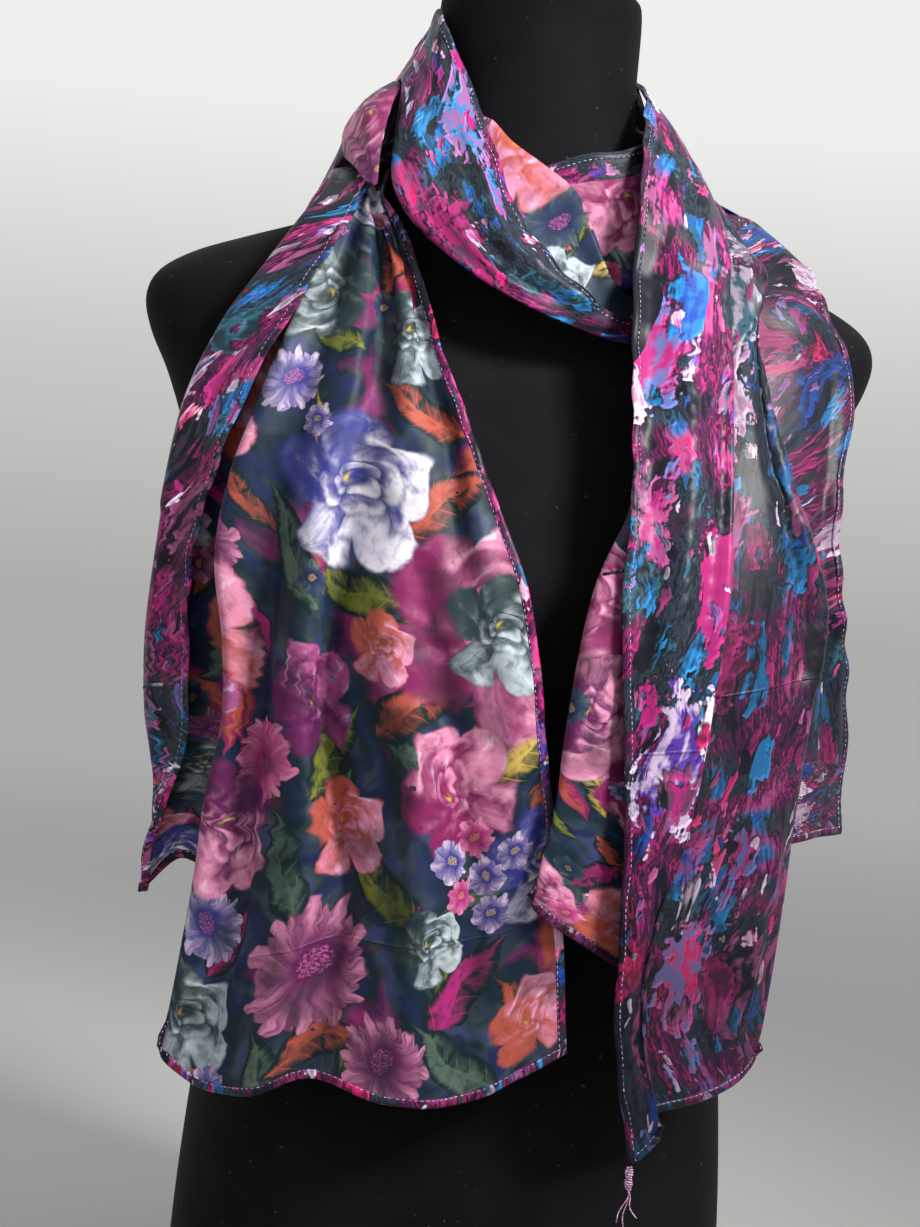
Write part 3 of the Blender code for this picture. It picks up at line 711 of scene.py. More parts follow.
def add_node(tree, kind, inputs, **settings):
    """A node of this kind, with its inputs by name or number."""
    made = tree.nodes.new("ShaderNode" + kind)
    for name, value in settings.items():
        setattr(made, name, value)
    for name, value in inputs.items():
        feed(made.inputs[name], value)
    return made


def source(tree, kind, output, **settings):
    """What leaves a node that takes nothing in."""
    return Signal(add_node(tree, kind, {}, **settings).outputs[output])


class Signal:
    """What leaves one socket. Arithmetic with it adds the nodes that reckon it."""

    def __init__(self, socket):
        self.socket, self.tree = socket, socket.id_data

    def maths(self, operation, *others):
        """A step of arithmetic, on vectors where this signal is one."""
        kind = "Math" if self.socket.type == "VALUE" else "VectorMath"
        inputs = dict(enumerate((self, *others)))
        return Signal(add_node(self.tree, kind, inputs, operation=operation).outputs[0])

    def __rsub__(self, other):
        return self.maths("MULTIPLY_ADD", -1.0, other)

    __add__ = partialmethod(maths, "ADD")
    __sub__ = partialmethod(maths, "SUBTRACT")
    __mul__ = partialmethod(maths, "MULTIPLY")
    __truediv__ = partialmethod(maths, "DIVIDE")
    __pow__ = partialmethod(maths, "POWER")
    __abs__ = partialmethod(maths, "ABSOLUTE")

    def step(self, low, high):
        """0 below low to 1 above high, smoothly."""
        inputs = {"Value": self, "From Min": low, "From Max": high}
        made = add_node(self.tree, "MapRange", inputs, interpolation_type="SMOOTHSTEP")
        return Signal(made.outputs["Result"])

    def ramp(self, stops, interpolation="LINEAR"):
        """A colour read from (place, colour) stops."""
        made = add_node(self.tree, "ValToRGB", {"Fac": self})
        made.color_ramp.interpolation = interpolation
        elements = made.color_ramp.elements
        while len(elements) < len(stops):
            elements.new(0.5)
        for element, (place, colour) in zip(elements, stops):
            element.position = place
            element.color = (*colour, 1.0)
        return Signal(made.outputs["Color"])

    def noise(self, scale=1.0, detail=2.0, distortion=0.0, output="Fac", dimensions="2D"):
        """Soft noise at this place."""
        inputs = {"Vector": self, "Scale": scale, "Detail": detail, "Distortion": distortion}
        made = add_node(self.tree, "TexNoise", inputs, noise_dimensions=dimensions)
        return Signal(made.outputs[output])

    def warped(self, scale, amount):
        """The place moved about by soft noise, by up to half of amount each way."""
        drift = self.noise(scale, 0.0, output="Color") - (0.5, 0.5, 0.5)
        return self + drift * (amount, amount, 0.0)

    def parts(self):
        """The x, y and z of a vector."""
        return [Signal(made) for made in add_node(self.tree, "SeparateXYZ", {0: self}).outputs]

    def polar(self):
        """Distance from the middle, and the angle round it."""
        x, y, _ = self.parts()
        return (x * x + y * y).maths("SQRT"), y.maths("ARCTAN2", x)


def blend(share, under, over, how="MIX"):
    """The colour under, covered by over as far as share says."""
    tree = next(value.tree for value in (share, under, over) if isinstance(value, Signal))
    made = add_node(tree, "Mix", {0: share, 6: under, 7: over}, data_type="RGBA",
                    blend_type=how)
    return Signal(made.outputs[2])


def bump(height, strength, distance, **inputs):
    """The normal of a surface with this height."""
    inputs.update(Height=height, Strength=strength, Distance=distance)
    return Signal(add_node(height.tree, "Bump", inputs).outputs["Normal"])


def node_group(name, inputs, outputs):
    """Turn a function, from given signals to results, into the node group that it builds."""
    def build(results_of):
        tree = bpy.data.node_groups.new(name, "ShaderNodeTree")
        for socket, (kind, value) in inputs.items():
            made = tree.interface.new_socket(socket, in_out="INPUT", socket_type=kind)
            made.default_value = (*value, 1.0) if kind == COLOUR else value
        for socket, kind in outputs.items():
            tree.interface.new_socket(socket, in_out="OUTPUT", socket_type=kind)
        given = tree.nodes.new("NodeGroupInput").outputs
        ends = tree.nodes.new("NodeGroupOutput").inputs
        for end, result in zip(ends, results_of(*[Signal(given[socket]) for socket in inputs])):
            feed(end, result)
        return tree
    return build


def use_group(group, *inputs):
    """The signals that leave one more use of a node group, given its inputs in order."""
    made = add_node(inputs[0].tree, "Group", dict(enumerate(inputs)), node_tree=group)
    return [Signal(socket) for socket in made.outputs]


# ---- effects that several finishes share ----
OUTSIDE = (0.0, 9.0, 0.0)   # a place that lies in no motif, in motif radii
ANYWHERE, OFF_MOTIF = (VECTOR, (0, 0, 0)), (VECTOR, OUTSIDE)
MOTIF_RESULTS = {"Colour": COLOUR, "Cover": NUMBER}
WHOLE_TURNS = 100.0         # keeps a number of turns above 0 before its fraction is taken


@node_group("satin weave", {"Place": ANYWHERE}, {"Height": NUMBER})
def satin_weave(place):
    """Fine satin floats along the strip, and a slow unevenness of the yarn."""
    floats = (place * (3600.0, 900.0, 1.0)).noise(detail=1.0)
    slub = (place * (140.0, 1300.0, 1.0)).noise(detail=1.0)
    return [slub * 0.5 + floats]


@node_group("soft rumple", {"Place": ANYWHERE}, {"Height": NUMBER})
def soft_rumple(place):
    """The small dents that handling leaves in light satin."""
    moved = place.warped(14.0, 0.05)
    long_dents, dents = (moved * (46.0, 15.0, 1.0)).noise(), (moved * (24.0, 60.0, 1.0)).noise()
    return [dents * 0.4 + long_dents]


# rings of petals, outermost first: how far each reaches, its petals and its turn
ROSE_RINGS = [(1.0, 5, 0.0), (0.76, 5, 1.1), (0.52, 4, 0.4), (0.28, 3, 2.0)]


@node_group("full bloom", {"Place": OFF_MOTIF, "Petal": (COLOUR, PALE_PINK),
                           "Shade": (COLOUR, PLUM), "Heart": (COLOUR, STRAW)}, MOTIF_RESULTS)
def full_bloom(place, petal, shade, heart):
    """A many-petalled bloom of radius 1: rings of cupped petals, light at their rims."""
    place = place.warped(1.1, 0.60).warped(3.2, 0.16)
    away, angle = place.polar()
    x, y, _ = place.parts()
    daub = place.noise(3.4, detail=4.0)
    frayed = daub * 0.22 - 0.11    # loose brushwork at the rims
    # painted light from the lower right of the bloom's own turn
    sunny = (daub * 1.2 + (x * 0.55 - y * 0.75)).step(-0.15, 1.25) * 0.88 + 0.12
    colour, cover = shade, None
    for reach, petals, turn in ROSE_RINGS:
        # lobe is 1 along a petal's middle and 0 between two petals
        lobe = abs((angle * (petals / 2) + turn).maths("COSINE")) ** 0.45
        share = away / (lobe * (0.30 * reach) + 0.70 * reach) + frayed
        inside = share.step(1.06, 0.94)
        lit = share.step(0.35, 1.05) * lobe * (daub * 1.8 + 0.10) * sunny
        colour = blend(inside, colour, blend(lit.step(0.02, 0.80), shade, petal))
        cover = inside if cover is None else cover.maths("MAXIMUM", inside)
    glint = daub.step(0.56, 0.68) * sunny.step(0.55, 0.95) * 0.35
    in_heart = away.step(0.15, 0.05) * daub.step(0.4, 0.6)
    return blend(in_heart, blend(glint, colour, BLOOM_WHITE), heart), cover


# rings of petals, undermost first: part of a petal's turn, how far it reaches, its light
STAR_RINGS = [(0.5, 0.88, 0.45), (0.0, 1.0, 1.0)]


@node_group("star bloom", {"Place": OFF_MOTIF, "Petal": (COLOUR, LILAC), "Shade": (COLOUR, PLUM),
                           "Petals": (NUMBER, 9.0), "Eye Size": (NUMBER, 0.2),
                           "Eye": (COLOUR, STRAW)}, MOTIF_RESULTS)
def star_bloom(place, petal, shade, petals, eye_size, eye):
    """A flower of radius 1 with separate petals round an eye."""
    place = place.warped(1.5, 0.36).warped(6.0, 0.10)
    away, angle = place.polar()
    turns = angle / (2 * math.pi) * petals    # petals passed, going round
    unrolled = add_node(place.tree, "CombineXYZ", {0: turns * 4.0, 1: away, 2: 0.0})
    streak = Signal(unrolled.outputs[0]).noise(2.0)
    colour, cover = shade, None
    for part_turn, reach, light in STAR_RINGS:
        # off is 0 along a petal's middle and 1 between two petals
        off = abs((turns + (part_turn + WHOLE_TURNS)).maths("FRACT") * 2.0 - 1.0)
        inside = (away / (off ** 2.4 * (-0.75 * reach) + reach)).step(1.04, 0.96)
        lit = away.step(0.22, 0.95) * light * (off * -0.55 + 1.0) * (streak * 2.0 - 0.20)
        colour = blend(inside, colour, blend(lit, shade, petal))
        cover = inside if cover is None else cover.maths("MAXIMUM", inside)
    grains = place.noise(22.0, detail=1.0)
    within = (away - (grains * 0.10 + eye_size)).step(0.05, 0.01)
    return blend(within, colour, blend(grains.step(0.42, 0.6), shade, eye)), cover


@node_group("veined leaf", {"Place": OFF_MOTIF, "Light": (COLOUR, OLIVE),
                            "Dark": (COLOUR, NIGHT_GREEN)}, MOTIF_RESULTS)
def veined_leaf(place, light, dark):
    """A leaf from x = -1 to x = 1, with a midrib, side veins and one darker half."""
    x, y, _ = place.warped(1.6, 0.22).parts()
    side = abs(y)
    room = (1.0 - x * x) * (x * -0.16 + 0.36) - side    # how far inside the outline
    daub = place.noise(3.2, detail=3.0, distortion=0.6)
    lit = (y.step(-0.03, 0.03) * 0.45 + (daub * 2.2 - 0.7)) * room.step(0.0, 0.16)
    ribs = (side * -3.4 + (x * 4.2 + 20.0)).maths("FRACT")
    vein = ribs.step(0.86, 0.97).maths("MAXIMUM", side.step(0.045, 0.012))
    lit = lit + vein * 0.34
    return blend(lit.step(0.15, 1.05), dark, light), room.step(-0.01, 0.025)


@node_group("paint dabs", {"Place": ANYWHERE, "Dabs": (VECTOR, (50, 25, 1)),
                           "Bristles": (VECTOR, (300, 60, 1)), "Amount": (NUMBER, 0.5)},
            {"Number": COLOUR, "Cover": NUMBER, "Height": NUMBER, "Smear": NUMBER})
def paint_dabs(place, dabs, bristles, amount):
    """Ragged dabs of thick paint along the strip: their numbers, cover, height and smear."""
    moved = place.warped(20.0, 0.022)
    streak, crumb = (moved * bristles).noise(), moved.noise(120.0)
    dab = add_node(place.tree, "TexVoronoi", {"Vector": moved * dabs, "Scale": 1.0},
                   voronoi_dimensions="2D", feature="F1")
    number, distance = Signal(dab.outputs["Color"]), Signal(dab.outputs["Distance"])
    reach = (number.parts()[2] * 0.85 + 0.15) * amount
    room = reach - distance + (streak * 0.40 + crumb * 0.62 - 0.51)   # inside its ragged rim
    height = room.step(-0.02, 0.12) * (streak * 0.9 + 0.5)
    return number, room.step(0.0, 0.045), height, streak * 0.5 + crumb * 0.5


PINK_GROUND = [
    (0.30, CHARCOAL), (0.40, PLUM), (0.45, CHARCOAL), (0.50, MAGENTA), (0.54, CHARCOAL),
    (0.59, PLUM), (0.64, MAGENTA), (0.69, ORCHID), (0.76, HOT_PINK),
]
BLUE_GROUND = [
    (0.34, CHARCOAL), (0.43, SLATE), (0.48, CHARCOAL), (0.53, SLATE), (0.57, CHARCOAL),
    (0.62, TEAL), (0.67, COBALT), (0.72, CERULEAN),
]
DAB_COLOURS = [
    (0.0, LILAC), (0.07, MAGENTA), (0.23, CERULEAN), (0.32, CHARCOAL), (0.56, HOT_PINK),
    (0.64, COBALT), (0.72, CHARCOAL), (0.86, PALE_LILAC), (0.885, VIOLET), (0.94, TEAL),
]
SMEAR_COLOURS = [
    (0.0, ORCHID), (0.20, CERULEAN), (0.34, CHARCOAL), (0.66, LILAC), (0.74, MAGENTA),
    (0.90, SLATE),
]
# for each coat: dabs a metre across and along, bristles a metre, share covered, shift
COATS = [
    ((24.0, 12.0, 1.0), (200.0, 30.0, 1.0), 0.47, (0.713, 0.377, 0.0)),
    ((44.0, 20.0, 1.0), (260.0, 44.0, 1.0), 0.39, (0.131, 0.619, 0.0)),
    ((84.0, 36.0, 1.0), (420.0, 70.0, 1.0), 0.29, (0.291, 0.853, 0.0)),
]
LIT_SIDE = (0.0009, -0.0011, 0.0)   # metres: the painted light falls from this way
# Flat metres where the darkening begins and where it is full. It is on the right end and
# beyond (y): painted shade in that end's lower part (y), and darker colour in its outer folds (x).
DARKENING_FROM, PAINTED_SHADE_LOW, DARKER_OUTER = (0.88, 0.90), (1.10, 0.96), (0.055, 0.085)


@node_group("stroke print", {"Place": ANYWHERE}, {"Colour": COLOUR, "Relief": NUMBER})
def stroke_print(place):
    """The paint-stroke face: a streaked ground, coats of lit and shaded dabs, painted shade low on
    the right end and darker outer folds.
    """
    moved = place.warped(14.0, 0.030)
    areas = (moved * (50.0, 20.0, 1.0)).noise(detail=3.0)
    streak = (moved * (330.0, 42.0, 1.0)).noise() - 0.5
    relief = (moved * (520.0, 260.0, 1.0)).noise() - 0.5
    mixed = relief * 0.16 + (streak * 0.34 + areas)
    blue = place.noise(13.0, detail=3.0).step(0.47, 0.54)
    colour = blend(blue, mixed.ramp(PINK_GROUND), mixed.ramp(BLUE_GROUND))
    for cells, bristles, amount, shift in COATS:
        here = place + shift
        number, cover, height, smear = use_group(paint_dabs, here, cells, bristles, amount)
        aside = use_group(paint_dabs, here + LIT_SIDE, cells, bristles, amount)[2]
        first, second, _ = number.parts()
        over = blend(smear.step(0.44, 0.60) * 0.75, first.ramp(DAB_COLOURS, "CONSTANT"),
                     second.ramp(SMEAR_COLOURS, "CONSTANT"))
        colour = blend(cover, colour, over)
        relief = (1.0 - cover) * relief + (height - aside) * 1.5
    x, y, _ = place.parts()
    # painted shade over the right end's lower part, and darker colour in its outer folds
    low, outer = y.step(*PAINTED_SHADE_LOW) * 0.62, x.step(*DARKER_OUTER) * 0.50
    shade_and_darkening = low.maths("MAXIMUM", outer) * y.step(*DARKENING_FROM)
    colour = blend(relief.step(0.08, 0.75) * 0.55, colour, colour, "ADD")
    colour = blend(relief.step(-0.08, -0.75) * 0.72, colour, CHARCOAL)
    return blend(shade_and_darkening, colour, CHARCOAL), relief


# ---- the floral print: where its motifs lie ----
# Each layer is one map on the cloth that says where a motif's middle lies from each point,
# in motif radii, and which palette it has. Later layers cover earlier ones.
ROSE_PALETTES = [          # petal, shade
    (BLOOM_WHITE, DEEP_BLUE), (PALE_PINK, DEEP_ROSE), (ORCHID, PLUM), (PALE_PINK, CORAL),
    (PALE_PINK, PLUM), (MIST, SLATE_GREEN),
]
STAR_PALETTES = [
    (PALE_PINK, PLUM), (LILAC, DEEP_BLUE), (LILAC, DEEP_ROSE), (PALE_PINK, MAGENTA),
    (SAGE, NAVY), (ORCHID, PLUM),
]
LEAF_PALETTES = [
    (OLIVE, NIGHT_GREEN), (SAGE, NIGHT_GREEN), (CORAL, NIGHT_GREEN), (MAGENTA, NIGHT_GREEN),
    (STRAW, NIGHT_GREEN), (CORAL, DEEP_ROSE),
]
PALETTES = 6

# layer: pitch between motifs, smallest and largest radius in millimetres, seed, node group,
# palettes and the group's last inputs
FILLING = {
    "leaf_low": (34, 22, 36, 11, veined_leaf, LEAF_PALETTES, ()),
    "leaf_high": (46, 22, 36, 23, veined_leaf, LEAF_PALETTES, ()),
    "star_large": (92, 20, 28, 37, star_bloom, STAR_PALETTES, (11.0, 0.15, ORCHID)),
    "rose_low": (84, 28, 46, 41, full_bloom, ROSE_PALETTES, (STRAW,)),
    "rose_high": (104, 24, 38, 53, full_bloom, ROSE_PALETTES, (STRAW,)),
    "star_small": (70, 8, 12, 67, star_bloom, STAR_PALETTES, (5.0, 0.13, STRAW)),
}
# Motifs listed one by one: x and y on the strip, radius, turn and palette. Those with y under
# 420 are on the left panel, the others on the right end's middle layer, collar and cap.
HAND_PLACED = {
    "rose_high": [
        (-28, 316, 43, 0.3, 0), (22, 164, 34, 2.2, 1), (60, 346, 23, 2.9, 4),
        (52, 246, 30, 0.2, 5), (-16, 234, 19, 0.2, 3), (14, 84, 20, 0.9, 5),
        (300, 1182, 34, 1.9, 1), (12, 1704, 30, 0.6, 1), (16, 642, 36, 0.9, 1),
    ],
    "rose_low": [
        (44, 250, 56, 1.2, 1), (4, 408, 30, 0.8, 5), (-70, 206, 30, 1.9, 2),
        (80, 122, 32, 0.5, 0), (-44, 138, 26, 0.5, 3), (76, 34, 24, 1.7, 3),
        (285, 1128, 60, 0.4, 1), (252, 1052, 30, 0.4, 3), (46, 1690, 36, 1.0, 5),
    ],
    "star_large": [
        (-56, 62, 38, 0.4, 0), (-6, 20, 25, 1.3, 0), (-74, 376, 20, 0.9, 1),
        (88, 286, 20, 0.1, 4),
    ],
    "star_small": [
        (22, 126, 12, 0.1, 1), (38, 138, 11, 0.6, 3), (45, 118, 11, 1.2, 1),
        (30, 108, 10, 0.4, 3), (60, 130, 10, 0.9, 1), (50, 98, 11, 0.3, 1),
        (-52, 352, 10, 0.4, 1), (-62, 266, 9, 0.8, 4),
    ],
    "leaf_high": [
        (22, 312, 38, 0.6, 2), (68, 304, 36, 2.2, 5), (8, 362, 34, 2.6, 2),
        (70, 190, 38, 0.6, 4), (-36, 262, 36, 2.9, 0), (2, 204, 36, 0.4, 2),
        (-84, 118, 34, 1.9, 1), (36, 60, 38, 0.9, 3), (88, 78, 36, 1.7, 5),
        (-22, 110, 36, 2.5, 0), (-44, 22, 32, 0.4, 2), (-74, 282, 38, 1.8, 1),
        (30, 22, 34, 2.4, 1), (-54, 178, 34, 0.9, 0), (292, 1064, 30, 1.3, 4),
    ],
}
STRIP_SIZE = (700, 2600)    # a little more than the cloth needs on every side
PANEL_PLAN = (105, 420)     # the part of the left panel whose blooms are listed one by one
MOTIF_EDGE = 1.35           # how far a motif's map reaches, in its own radii
JITTER = 0.3                # how far a motif strays from its even place, in pitches
CROWDING = 0.8              # how near two motifs may lie, as a share of their radii


def strip_motifs(layer):
    """Every motif of one layer over the whole strip, as rows (x, y, radius, turn, palette)."""
    pitch, smallest, largest, seed, *_ = FILLING[layer]
    pick = random.Random(seed)
    chosen = list(HAND_PLACED.get(layer, ()))
    across, along = (int(size / pitch) + 1 for size in STRIP_SIZE)
    for j in range(along):
        for i in range(across):
            x = (i - across / 2 + 0.5 * (j % 2) + JITTER * pick.uniform(-1, 1)) * pitch
            y = (j + JITTER * pick.uniform(-1, 1)) * pitch
            radius = pick.uniform(smallest, largest)
            turn, palette = pick.uniform(0, 2 * math.pi), pick.randrange(PALETTES)
            on_panel = abs(x) < PANEL_PLAN[0] and y < PANEL_PLAN[1]
            if on_panel and layer != "leaf_low":
                continue
            if all(math.hypot(x - m[0], y - m[1]) > CROWDING * (radius + m[2])
                   for m in chosen):
                chosen.append((x, y, radius, turn, palette))
    return chosen


def map_motifs(thing):
    """Write each layer of the floral print to the piece's mesh, one map for each layer."""
    mesh = thing.data
    places = values_of(mesh.uv_layers[FLAT_MAP].uv, "vector", 2, np.float32).reshape(-1, 2)
    starts, sizes = (values_of(mesh.polygons, key) for key in ("loop_start", "loop_total"))
    middles = np.add.reduceat(places, starts, axis=0) / sizes[:, None]
    low, high = places.min(axis=0), places.max(axis=0)
    for layer in FILLING:
        local = np.full((len(places), 3), OUTSIDE, dtype=np.float32)
        closest = np.full(len(middles), MOTIF_EDGE)
        for x, y, radius, turn, palette in strip_motifs(layer):
            middle, reach = np.array((x, y)) * MM, radius * MM
            if (middle < low - reach).any() or (middle > high + reach).any():
                continue
            away = np.linalg.norm(middles - middle, axis=1) / reach
            faces = away < closest
            closest[faces] = away[faces]
            corners = np.repeat(faces, sizes)
            dx, dy = ((places[corners] - middle) / reach).T
            cosine, sine = math.cos(turn), math.sin(turn)
            local[corners] = np.column_stack([dx * cosine + dy * sine, dy * cosine - dx * sine,
                                              np.full(len(dx), (palette + 0.5) / PALETTES)])
        mesh.attributes.new(layer, "FLOAT_VECTOR", "CORNER").data.foreach_set(
            "vector", local.ravel())


# ---- finishes ----
def new_material(name):
    """A material, and its node tree."""
    material = bpy.data.materials.new(name)
    material.use_nodes = True
    return material, material.node_tree


def finished(material, inputs):
    """The material, with these inputs of its Principled shader."""
    shader = material.node_tree.nodes["Principled BSDF"]
    for name, value in inputs.items():
        feed(shader.inputs[name], value)
    return material


def satin_normal(place, rumple, rumple_depth):
    """The normal of rumpled satin: soft dents first, and the weave on top of them."""
    soft = bump(use_group(soft_rumple, place)[0], rumple, rumple_depth)
    return bump(use_group(satin_weave, place)[0], 0.35, 0.00008, Normal=soft)


def palette_colours(number, palettes):
    """The two colours of the palette with this number, from 0 to 1."""
    return [number.ramp([(i / PALETTES, colour) for i, colour in enumerate(colours)], "CONSTANT")
            for colours in zip(*palettes)]


FLORAL_GROUND = [
    (0.30, NIGHT_GREEN), (0.39, NAVY), (0.44, SLATE), (0.49, NIGHT_GREEN), (0.56, NAVY),
    (0.61, NIGHT_GREEN), (0.65, PLUM), (0.70, MAGENTA), (0.77, ORCHID),
]
FLORAL_TINT = [(0.35, NIGHT_GREEN), (0.50, NAVY), (0.60, SAGE), (0.70, PERIWINKLE)]


def floral_satin():
    """The floral face: a dark painted ground, leaves, star flowers and full blooms."""
    material, tree = new_material("floral satin")
    place = source(tree, "UVMap", "UV", uv_map=FLAT_MAP)
    daubs = place.warped(45.0, 0.014)
    colour = blend(0.25, daubs.noise(12.0, detail=6.0).ramp(FLORAL_GROUND),
                   daubs.noise(42.0).ramp(FLORAL_TINT))
    for layer, (*_, group, palettes, extra) in FILLING.items():
        motif = source(tree, "Attribute", "Vector", attribute_name=layer)
        colours = palette_colours(motif.parts()[2], palettes)
        bloom, cover = use_group(group, motif, *colours, *extra)
        colour = blend(cover, colour, bloom)
    worn = daubs.noise(160.0)
    for gloom in (place.noise(27.0).step(0.47, 0.72) * 0.55, worn.step(0.5, 0.8) * 0.35):
        colour = blend(gloom, colour, NIGHT_GREEN)
    return finished(material, {
        "Base Color": colour, "Roughness": worn * 0.12 + 0.42, "Specular IOR Level": 0.14,
        "Normal": satin_normal(place, 0.30, 0.0020)})


def stroke_satin():
    """The glossy face, printed with broad paint strokes."""
    material, tree = new_material("stroke satin")
    place = source(tree, "UVMap", "UV", uv_map=FLAT_MAP)
    colour, relief = use_group(stroke_print, place)
    return finished(material, {
        "Base Color": colour, "Roughness": relief.step(-0.5, 0.6) * -0.06 + 0.40,
        "Specular IOR Level": 0.16, "Normal": satin_normal(place, 0.40, 0.0022)})


def thread(name, light, dark):
    """Twisted sewing thread."""
    material, tree = new_material(name)
    twist = source(tree, "TexCoord", "Object").noise(900.0, 1.0, dimensions="3D")
    return finished(material, {
        "Base Color": blend(twist.step(0.35, 0.65), dark, light), "Roughness": 0.55,
        "Normal": bump(twist, 0.5, 0.0002)})


def stretch_cover():
    """The form's black knit cover, with a little lint and a soft bloom on it."""
    material, tree = new_material("black stretch cover")
    place = source(tree, "TexCoord", "Object")
    knit = (place * (900.0, 900.0, 1500.0)).noise(dimensions="3D")
    cloudy = place.noise(9.0, 4.0, dimensions="3D")
    lint = place.noise(260.0, 1.0, dimensions="3D").step(0.74, 0.80) * 0.35
    ground = blend(cloudy.step(0.35, 0.75), BLACK_COVER, COVER_BLOOM)
    return finished(material, {
        "Base Color": blend(lint, ground, LINT), "Roughness": cloudy * 0.15 + 0.75,
        "Specular IOR Level": 0.07, "Sheen Weight": 0.02, "Sheen Roughness": 0.45,
        "Normal": bump(knit, 0.45, 0.0004)})


def floor_with_painted_shade():
    """The floor, with painted shade: grey near the form, and pale further off."""
    material, tree = new_material("pale floor")
    place = source(tree, "TexCoord", "Object")
    # painted shade: the floor is greyer towards the form
    far = (place.noise(1.5, dimensions="3D") * 0.3 + place.polar()[0]).step(0.2, 5.0)
    return finished(material, {
        "Base Color": blend(far, FLOOR_NEAR, FLOOR_FAR), "Roughness": 0.9,
        "Specular IOR Level": 0.1})


# ---- the pieces ----
FORM_ROUND = 144          # facets round the finished form
FORM_STEPS = 6            # courses between two of its sections
WHIPPING_TURNS = 9
WHIPPING_LENGTH = 11.5
WHIPPING_RADIUS = 1.9     # at its widest
WHIPPING_THREAD = 0.48    # radius of the thread that is wound
TAIL_THREAD = 0.30        # radius of a loose end
WHIPPING_SIDES = 6
WHIPPING_POINTS, TAIL_POINTS = 160, 24
TAILS = [(-6.0, -2.0, 17.0), (-1.0, 1.5, 21.0), (5.0, -1.0, 15.0)]   # sway, lean, drop
OFF_THREAD = (0.13, 0.99, 0.07)   # a direction in which no thread runs


def dress_form(cover):
    """The stuffed form, through the same sections as its solid."""
    last = len(FORM_SECTIONS) - 1
    numbered = np.column_stack([np.arange(last + 1), np.array(FORM_SECTIONS, dtype=float)])
    sections = smooth_values(numbered, np.linspace(0, last, last * FORM_STEPS + 1))
    angle = 2 * np.pi * np.arange(FORM_ROUND) / FORM_ROUND
    cosine, sine = np.cos(angle), np.sin(angle)
    rings = []
    for height, half_width, front, behind, squareness in sections:
        reach = (np.abs(cosine)**squareness + np.abs(sine)**squareness)**(-1 / squareness)
        depth = np.where(sine > 0, behind, front)
        rings.append(np.column_stack([half_width * reach * cosine, depth * reach * sine,
                                      np.full(FORM_ROUND, height)]))
    form = piece("form_body", np.concatenate(rings), tube_faces(len(rings), FORM_ROUND), (cover,))
    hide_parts("dress_form")


def corner_whipping(drape, thread_finish):
    """The whipped knot under the lowest corner, and its three loose thread tails."""
    tip = drape.grid[0, 0] + (0.0, 0.0, -1.0)
    bundle = Bundle()
    turns = np.linspace(0, 1, WHIPPING_POINTS)
    swell = WHIPPING_RADIUS * (0.55 + 0.45 * np.sin(np.pi * (turns * 2.1 % 1.0)))
    angle = turns * 2 * np.pi * WHIPPING_TURNS
    coil = np.column_stack([swell * np.cos(angle), swell * np.sin(angle),
                            -WHIPPING_LENGTH * turns])
    bundle.add(tube_rings(tip + coil, WHIPPING_THREAD, WHIPPING_SIDES))
    t = np.linspace(0, 1, TAIL_POINTS)
    for sway, lean, drop in TAILS:
        tail = np.column_stack([sway * t**1.6 + 0.9 * np.sin(7 * t), lean * t, -drop * t])
        bundle.add(tube_rings(tip + (0.0, 0.0, -11.0) + tail, TAIL_THREAD, WHIPPING_SIDES))
    knot = bundle.make("corner_whipping", thread_finish)
    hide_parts("corner_knot")
    return knot


def tube_rings(path, radius, sides):
    """Round rings along a path."""
    forward = unit(np.gradient(path, axis=0))
    side = unit(np.cross(forward, OFF_THREAD))
    return rings_along(path, side, np.cross(side, forward), 2 * radius, 2 * radius, sides)


# ---- studio ----
IMAGE_HEIGHT = 1227       # pixels
SENSOR = 36.0             # millimetres, along the picture's long side
CAMERA_DISTANCE = 1.4     # metres, to the form's centre plane
PIXEL_SIZE = 0.00057      # metres at that distance
CAMERA_TURN = math.radians(10)
CAMERA_ROLL = math.radians(4.5)
CAMERA_ASIDE = -0.0194
CAMERA_HEIGHT = 0.395


def camera():
    """A level camera a little to the left of the front, rolled as the picture is."""
    forward = Vector((math.sin(CAMERA_TURN), math.cos(CAMERA_TURN), 0.0))
    right = Vector((math.cos(CAMERA_TURN), -math.sin(CAMERA_TURN), 0.0))
    upward = Vector((0.0, 0.0, 1.0))
    across = right * math.cos(CAMERA_ROLL) + upward * math.sin(CAMERA_ROLL)
    up = upward * math.cos(CAMERA_ROLL) - right * math.sin(CAMERA_ROLL)
    place = -forward * CAMERA_DISTANCE + right * CAMERA_ASIDE + upward * CAMERA_HEIGHT
    lens = bpy.data.cameras.new("camera")
    lens.sensor_fit = "AUTO"
    lens.sensor_width = SENSOR
    lens.lens = SENSOR * CAMERA_DISTANCE / PIXEL_SIZE / IMAGE_HEIGHT
    made = place_object("camera", lens)
    made.matrix_world = Matrix.Translation(place) @ Matrix(
        (across, up, -forward)).transposed().to_4x4()
    bpy.context.scene.camera = made


# name: (where it stands, what it points at, width, height, watts, spread, colour)
LAMPS = {
    "key_lamp": ((0.95, -1.25, 1.45), (0.02, -0.1, 0.56), 0.5, 0.5, 4.2, 44, (1, 0.985, 0.96)),
    "fill_lamp": ((-1.8, -1.3, 1.5), (0.0, 0.0, 0.7), 1.6, 1.6, 1.2, 120, (0.94, 0.97, 1)),
    "top_lamp": ((0.0, 0.1, 2.0), (0.0, -0.1, 0.5), 1.2, 0.9, 3.2, 120, (1, 1, 1)),
}
# how bright the studio is, from the floor's level (0) to straight above (1)
SKY = [(0.0, (0.47, 0.465, 0.46)), (0.10, (0.66, 0.66, 0.65)), (0.20, (0.96, 0.96, 0.95)),
       (0.34, (0.95, 0.95, 0.95)), (0.42, (0.66, 0.67, 0.68)), (1.0, (0.60, 0.61, 0.62))]
SKY_STRENGTH = 0.90
FLOOR_REACH = 30.0        # metres


